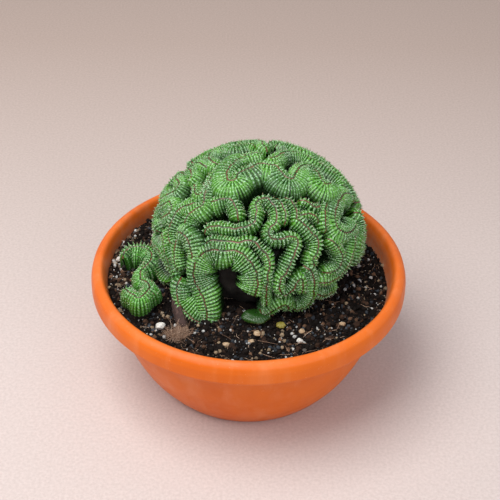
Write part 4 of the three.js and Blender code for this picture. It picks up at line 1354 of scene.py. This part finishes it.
def ball_grid(rows, columns):
    """Directions over the whole sphere, from the top to the bottom."""
    fall = np.linspace(0.06, np.pi - 0.06, rows)[:, None]
    angle = np.linspace(0, 2 * np.pi, columns, endpoint=False)[None, :]
    z = np.cos(fall) + 0 * angle
    return np.stack([np.sin(fall) * np.cos(angle), np.sin(fall) * np.sin(angle), z], -1)


def stone_points(size, planes, softness, seed):
    """Radius in a direction is one over the soft maximum of (direction . plane normal) / plane
    distance, over the planes; softness is the power of the mean. Then comes fine noise."""
    pick = np.random.default_rng(seed)
    way = ball_grid(26, 36)
    normal = pick.normal(size=(planes, 3))
    normal /= np.linalg.norm(normal, axis=1, keepdims=True)
    limit = pick.uniform(0.75, 1.0, planes)
    push = np.clip(np.einsum("ijk,lk->ijl", way, normal) / limit, 0, None)
    radius = 1 / (np.sum(push**softness, axis=-1) ** (1 / softness) + 0.15)
    radius *= 1 + 0.03 * waves(way * 6, 1.6, seed + 1) + 0.02 * waves(way * 6, 0.7, seed + 2)
    points = way * radius[..., None]
    span = points.max(axis=(0, 1)) - points.min(axis=(0, 1))
    return points / span * np.array(size)


def add_stone(node, material, slot, planes, softness, seed):
    """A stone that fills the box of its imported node."""
    low, high = node_box(node)
    size = high - low
    size[2] = max(size[2], 0.75 * size[0])
    points = stone_points(size, planes, softness, seed)
    points = points + (low + high) / 2
    points[..., 2] += high[2] - points[..., 2].max()
    stone = add_tube(node + "_skin", points)
    finish_piece(stone, slot, material, node)


# %% Stones
PUMICE_WHITES = [(0.32, (0.30, 0.27, 0.23)), (0.45, (0.70, 0.68, 0.63)), (0.8, (0.84, 0.83, 0.80))]
GRAVEL_TANS = [(0.3, (0.22, 0.13, 0.07)), (0.5, (0.42, 0.29, 0.17)), (0.75, (0.58, 0.46, 0.32))]
pumice_material = mottled_material("pumice", (0.0009, 3.0, 0.6), PUMICE_WHITES, 0.92, 0.0006)
gravel_material = mottled_material("tan gravel", (0.0022, 4.0, 0.6), GRAVEL_TANS, 0.75, 0.0004)
stones = sorted(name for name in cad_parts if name.startswith(("stone_", "pumice_")))
for number, node in enumerate(stones):
    if node.startswith("pumice"):
        add_stone(node, pumice_material, "pumice", 14, 10.0, 200 + number)
    else:
        add_stone(node, gravel_material, "gravel", 16, 7.0, 200 + number)
print("stones:", len(stones))

# %% [markdown]
# The root
# --------
# A woody root comes out from under the crown on the left and dives into the soil. It is a tube
# along a smooth line through a few listed places. It thickens on the way down, and sines
# round it give it lengthwise grooves like real bark.

# %% Root
ROOT_MIDDLE = [(-51, -38, 100), (-51, -41, 97), (-50, -48, 92), (-47.5, -55, 88.5), (-45, -62, 84)]
ROOT_ROWS, ROOT_COLUMNS = 60, 40
root_line = through(ROOT_MIDDLE, ROOT_ROWS)
root_ahead = np.gradient(root_line, axis=0)
root_ahead /= np.linalg.norm(root_ahead, axis=1, keepdims=True)
root_side = np.cross(root_ahead, [0, 0, 1.0])
root_side /= np.linalg.norm(root_side, axis=1, keepdims=True)
root_over = np.cross(root_side, root_ahead)
angle = np.linspace(0, 2 * np.pi, ROOT_COLUMNS, endpoint=False)
share = np.linspace(0, 1, ROOT_ROWS)[:, None]
grooves = 0.10 * np.cos(5 * angle + 3 * share) + 0.05 * np.cos(11 * angle - 5 * share)
thickness = (2.5 + 1.5 * share) * (1 + grooves + 0.06 * waves(40 * share[:, 0], 6.0, 81)[:, None])
root_points = root_line[:, None] + thickness[..., None] * (
    np.cos(angle)[None, :, None] * root_side[:, None] + np.sin(angle)[None, :, None] * root_over[:, None]
)
ROOT_BROWNS = [(0.3, (0.018, 0.009, 0.008)), (0.55, (0.065, 0.034, 0.028)), (0.8, (0.17, 0.10, 0.08))]
root_material = mottled_material("root bark", (0.0018, 5.0, 0.7), ROOT_BROWNS, 0.85, 0.0009)
root = add_tube("root_skin", root_points)
finish_piece(root, "woody_bark", root_material, "woody_root")
print("root:", len(root.data.polygons), "faces")

# %% [markdown]
# The smooth lobe and the bud
# ---------------------------
# Two small young parts peep out from under the crests: a dark green lobe, nearly smooth, and a
# yellow bud. Both are flattened balls with faint ribs and a fine rim, and they wear the plant's
# skin in colours of their own, so one formula and one finish make the pair.

# %% Smooth lobe and bud


def pad_points(middle, size, ribs, depth):
    """A flattened ball: across it is a circle with faint ribs, and its height is a superellipse,
    so that it has a soft rim round it."""
    way = ball_grid(48, 120)
    flat = np.hypot(way[..., 0], way[..., 1])
    heading = np.arctan2(way[..., 1], way[..., 0])
    rib = np.abs(np.cos(ribs * heading / 2)) ** 0.6 - 0.6
    swell = 1 + depth * rib * np.clip(flat * 1.6 - 0.3, 0, 1) + 0.05 * waves(way * 5, 4.0, 91)
    shape = way * np.array([1, 1, 0.9]) * swell[..., None]
    rim = np.exp(-((way[..., 2] + 0.05) ** 2) / 0.004)
    return middle + shape * np.array(size) / 2 + rim[..., None] * 0.25 * way, rim


def add_pad(name, node, size_share, ribs, depth, slot, material, edge_share):
    """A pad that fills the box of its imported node."""
    low, high = node_box(node)
    middle, size = (low + high) / 2, (high - low) * size_share
    points, rim = pad_points(middle, size, ribs, depth)
    marks = np.stack([rim * edge_share, 0.15 + 0 * rim, 0.75 + 0 * rim, 0.4 + 0 * rim], -1)
    pad = add_tube(name, points, marks)
    finish_piece(pad, slot, material, node)


smooth_material = plant_skin(
    "smooth plant skin",
    crease_shade=CREASE_SHADE,
    flank=(0.010, 0.050, 0.006),
    fresh=(0.03, 0.12, 0.010),
    rib_highlight=(0.035, 0.13, 0.012),
    edge_colour=(0.12, 0.06, 0.02),
    roughness=0.30,
)
bud_material = plant_skin(
    "bud skin",
    crease_shade=(0.05, 0.03, 0.01),
    flank=(0.22, 0.20, 0.03),
    fresh=(0.40, 0.33, 0.05),
    rib_highlight=(0.5, 0.45, 0.15),
    edge_colour=(0.25, 0.10, 0.03),
    roughness=0.45,
)
LOBE_SHARE, BUD_SHARE = (0.92, 0.9, 0.85), (1.0, 1.0, 1.0)
add_pad(
    "smooth_lobe_skin", "smooth_lobe", LOBE_SHARE, 26, 0.10, "smooth_plant_skin", smooth_material, 0.8
)
add_pad("yellow_bud_skin", "yellow_bud", BUD_SHARE, 7, 0.30, "bud_skin", bud_material, 0.4)
print("lobe and bud made")
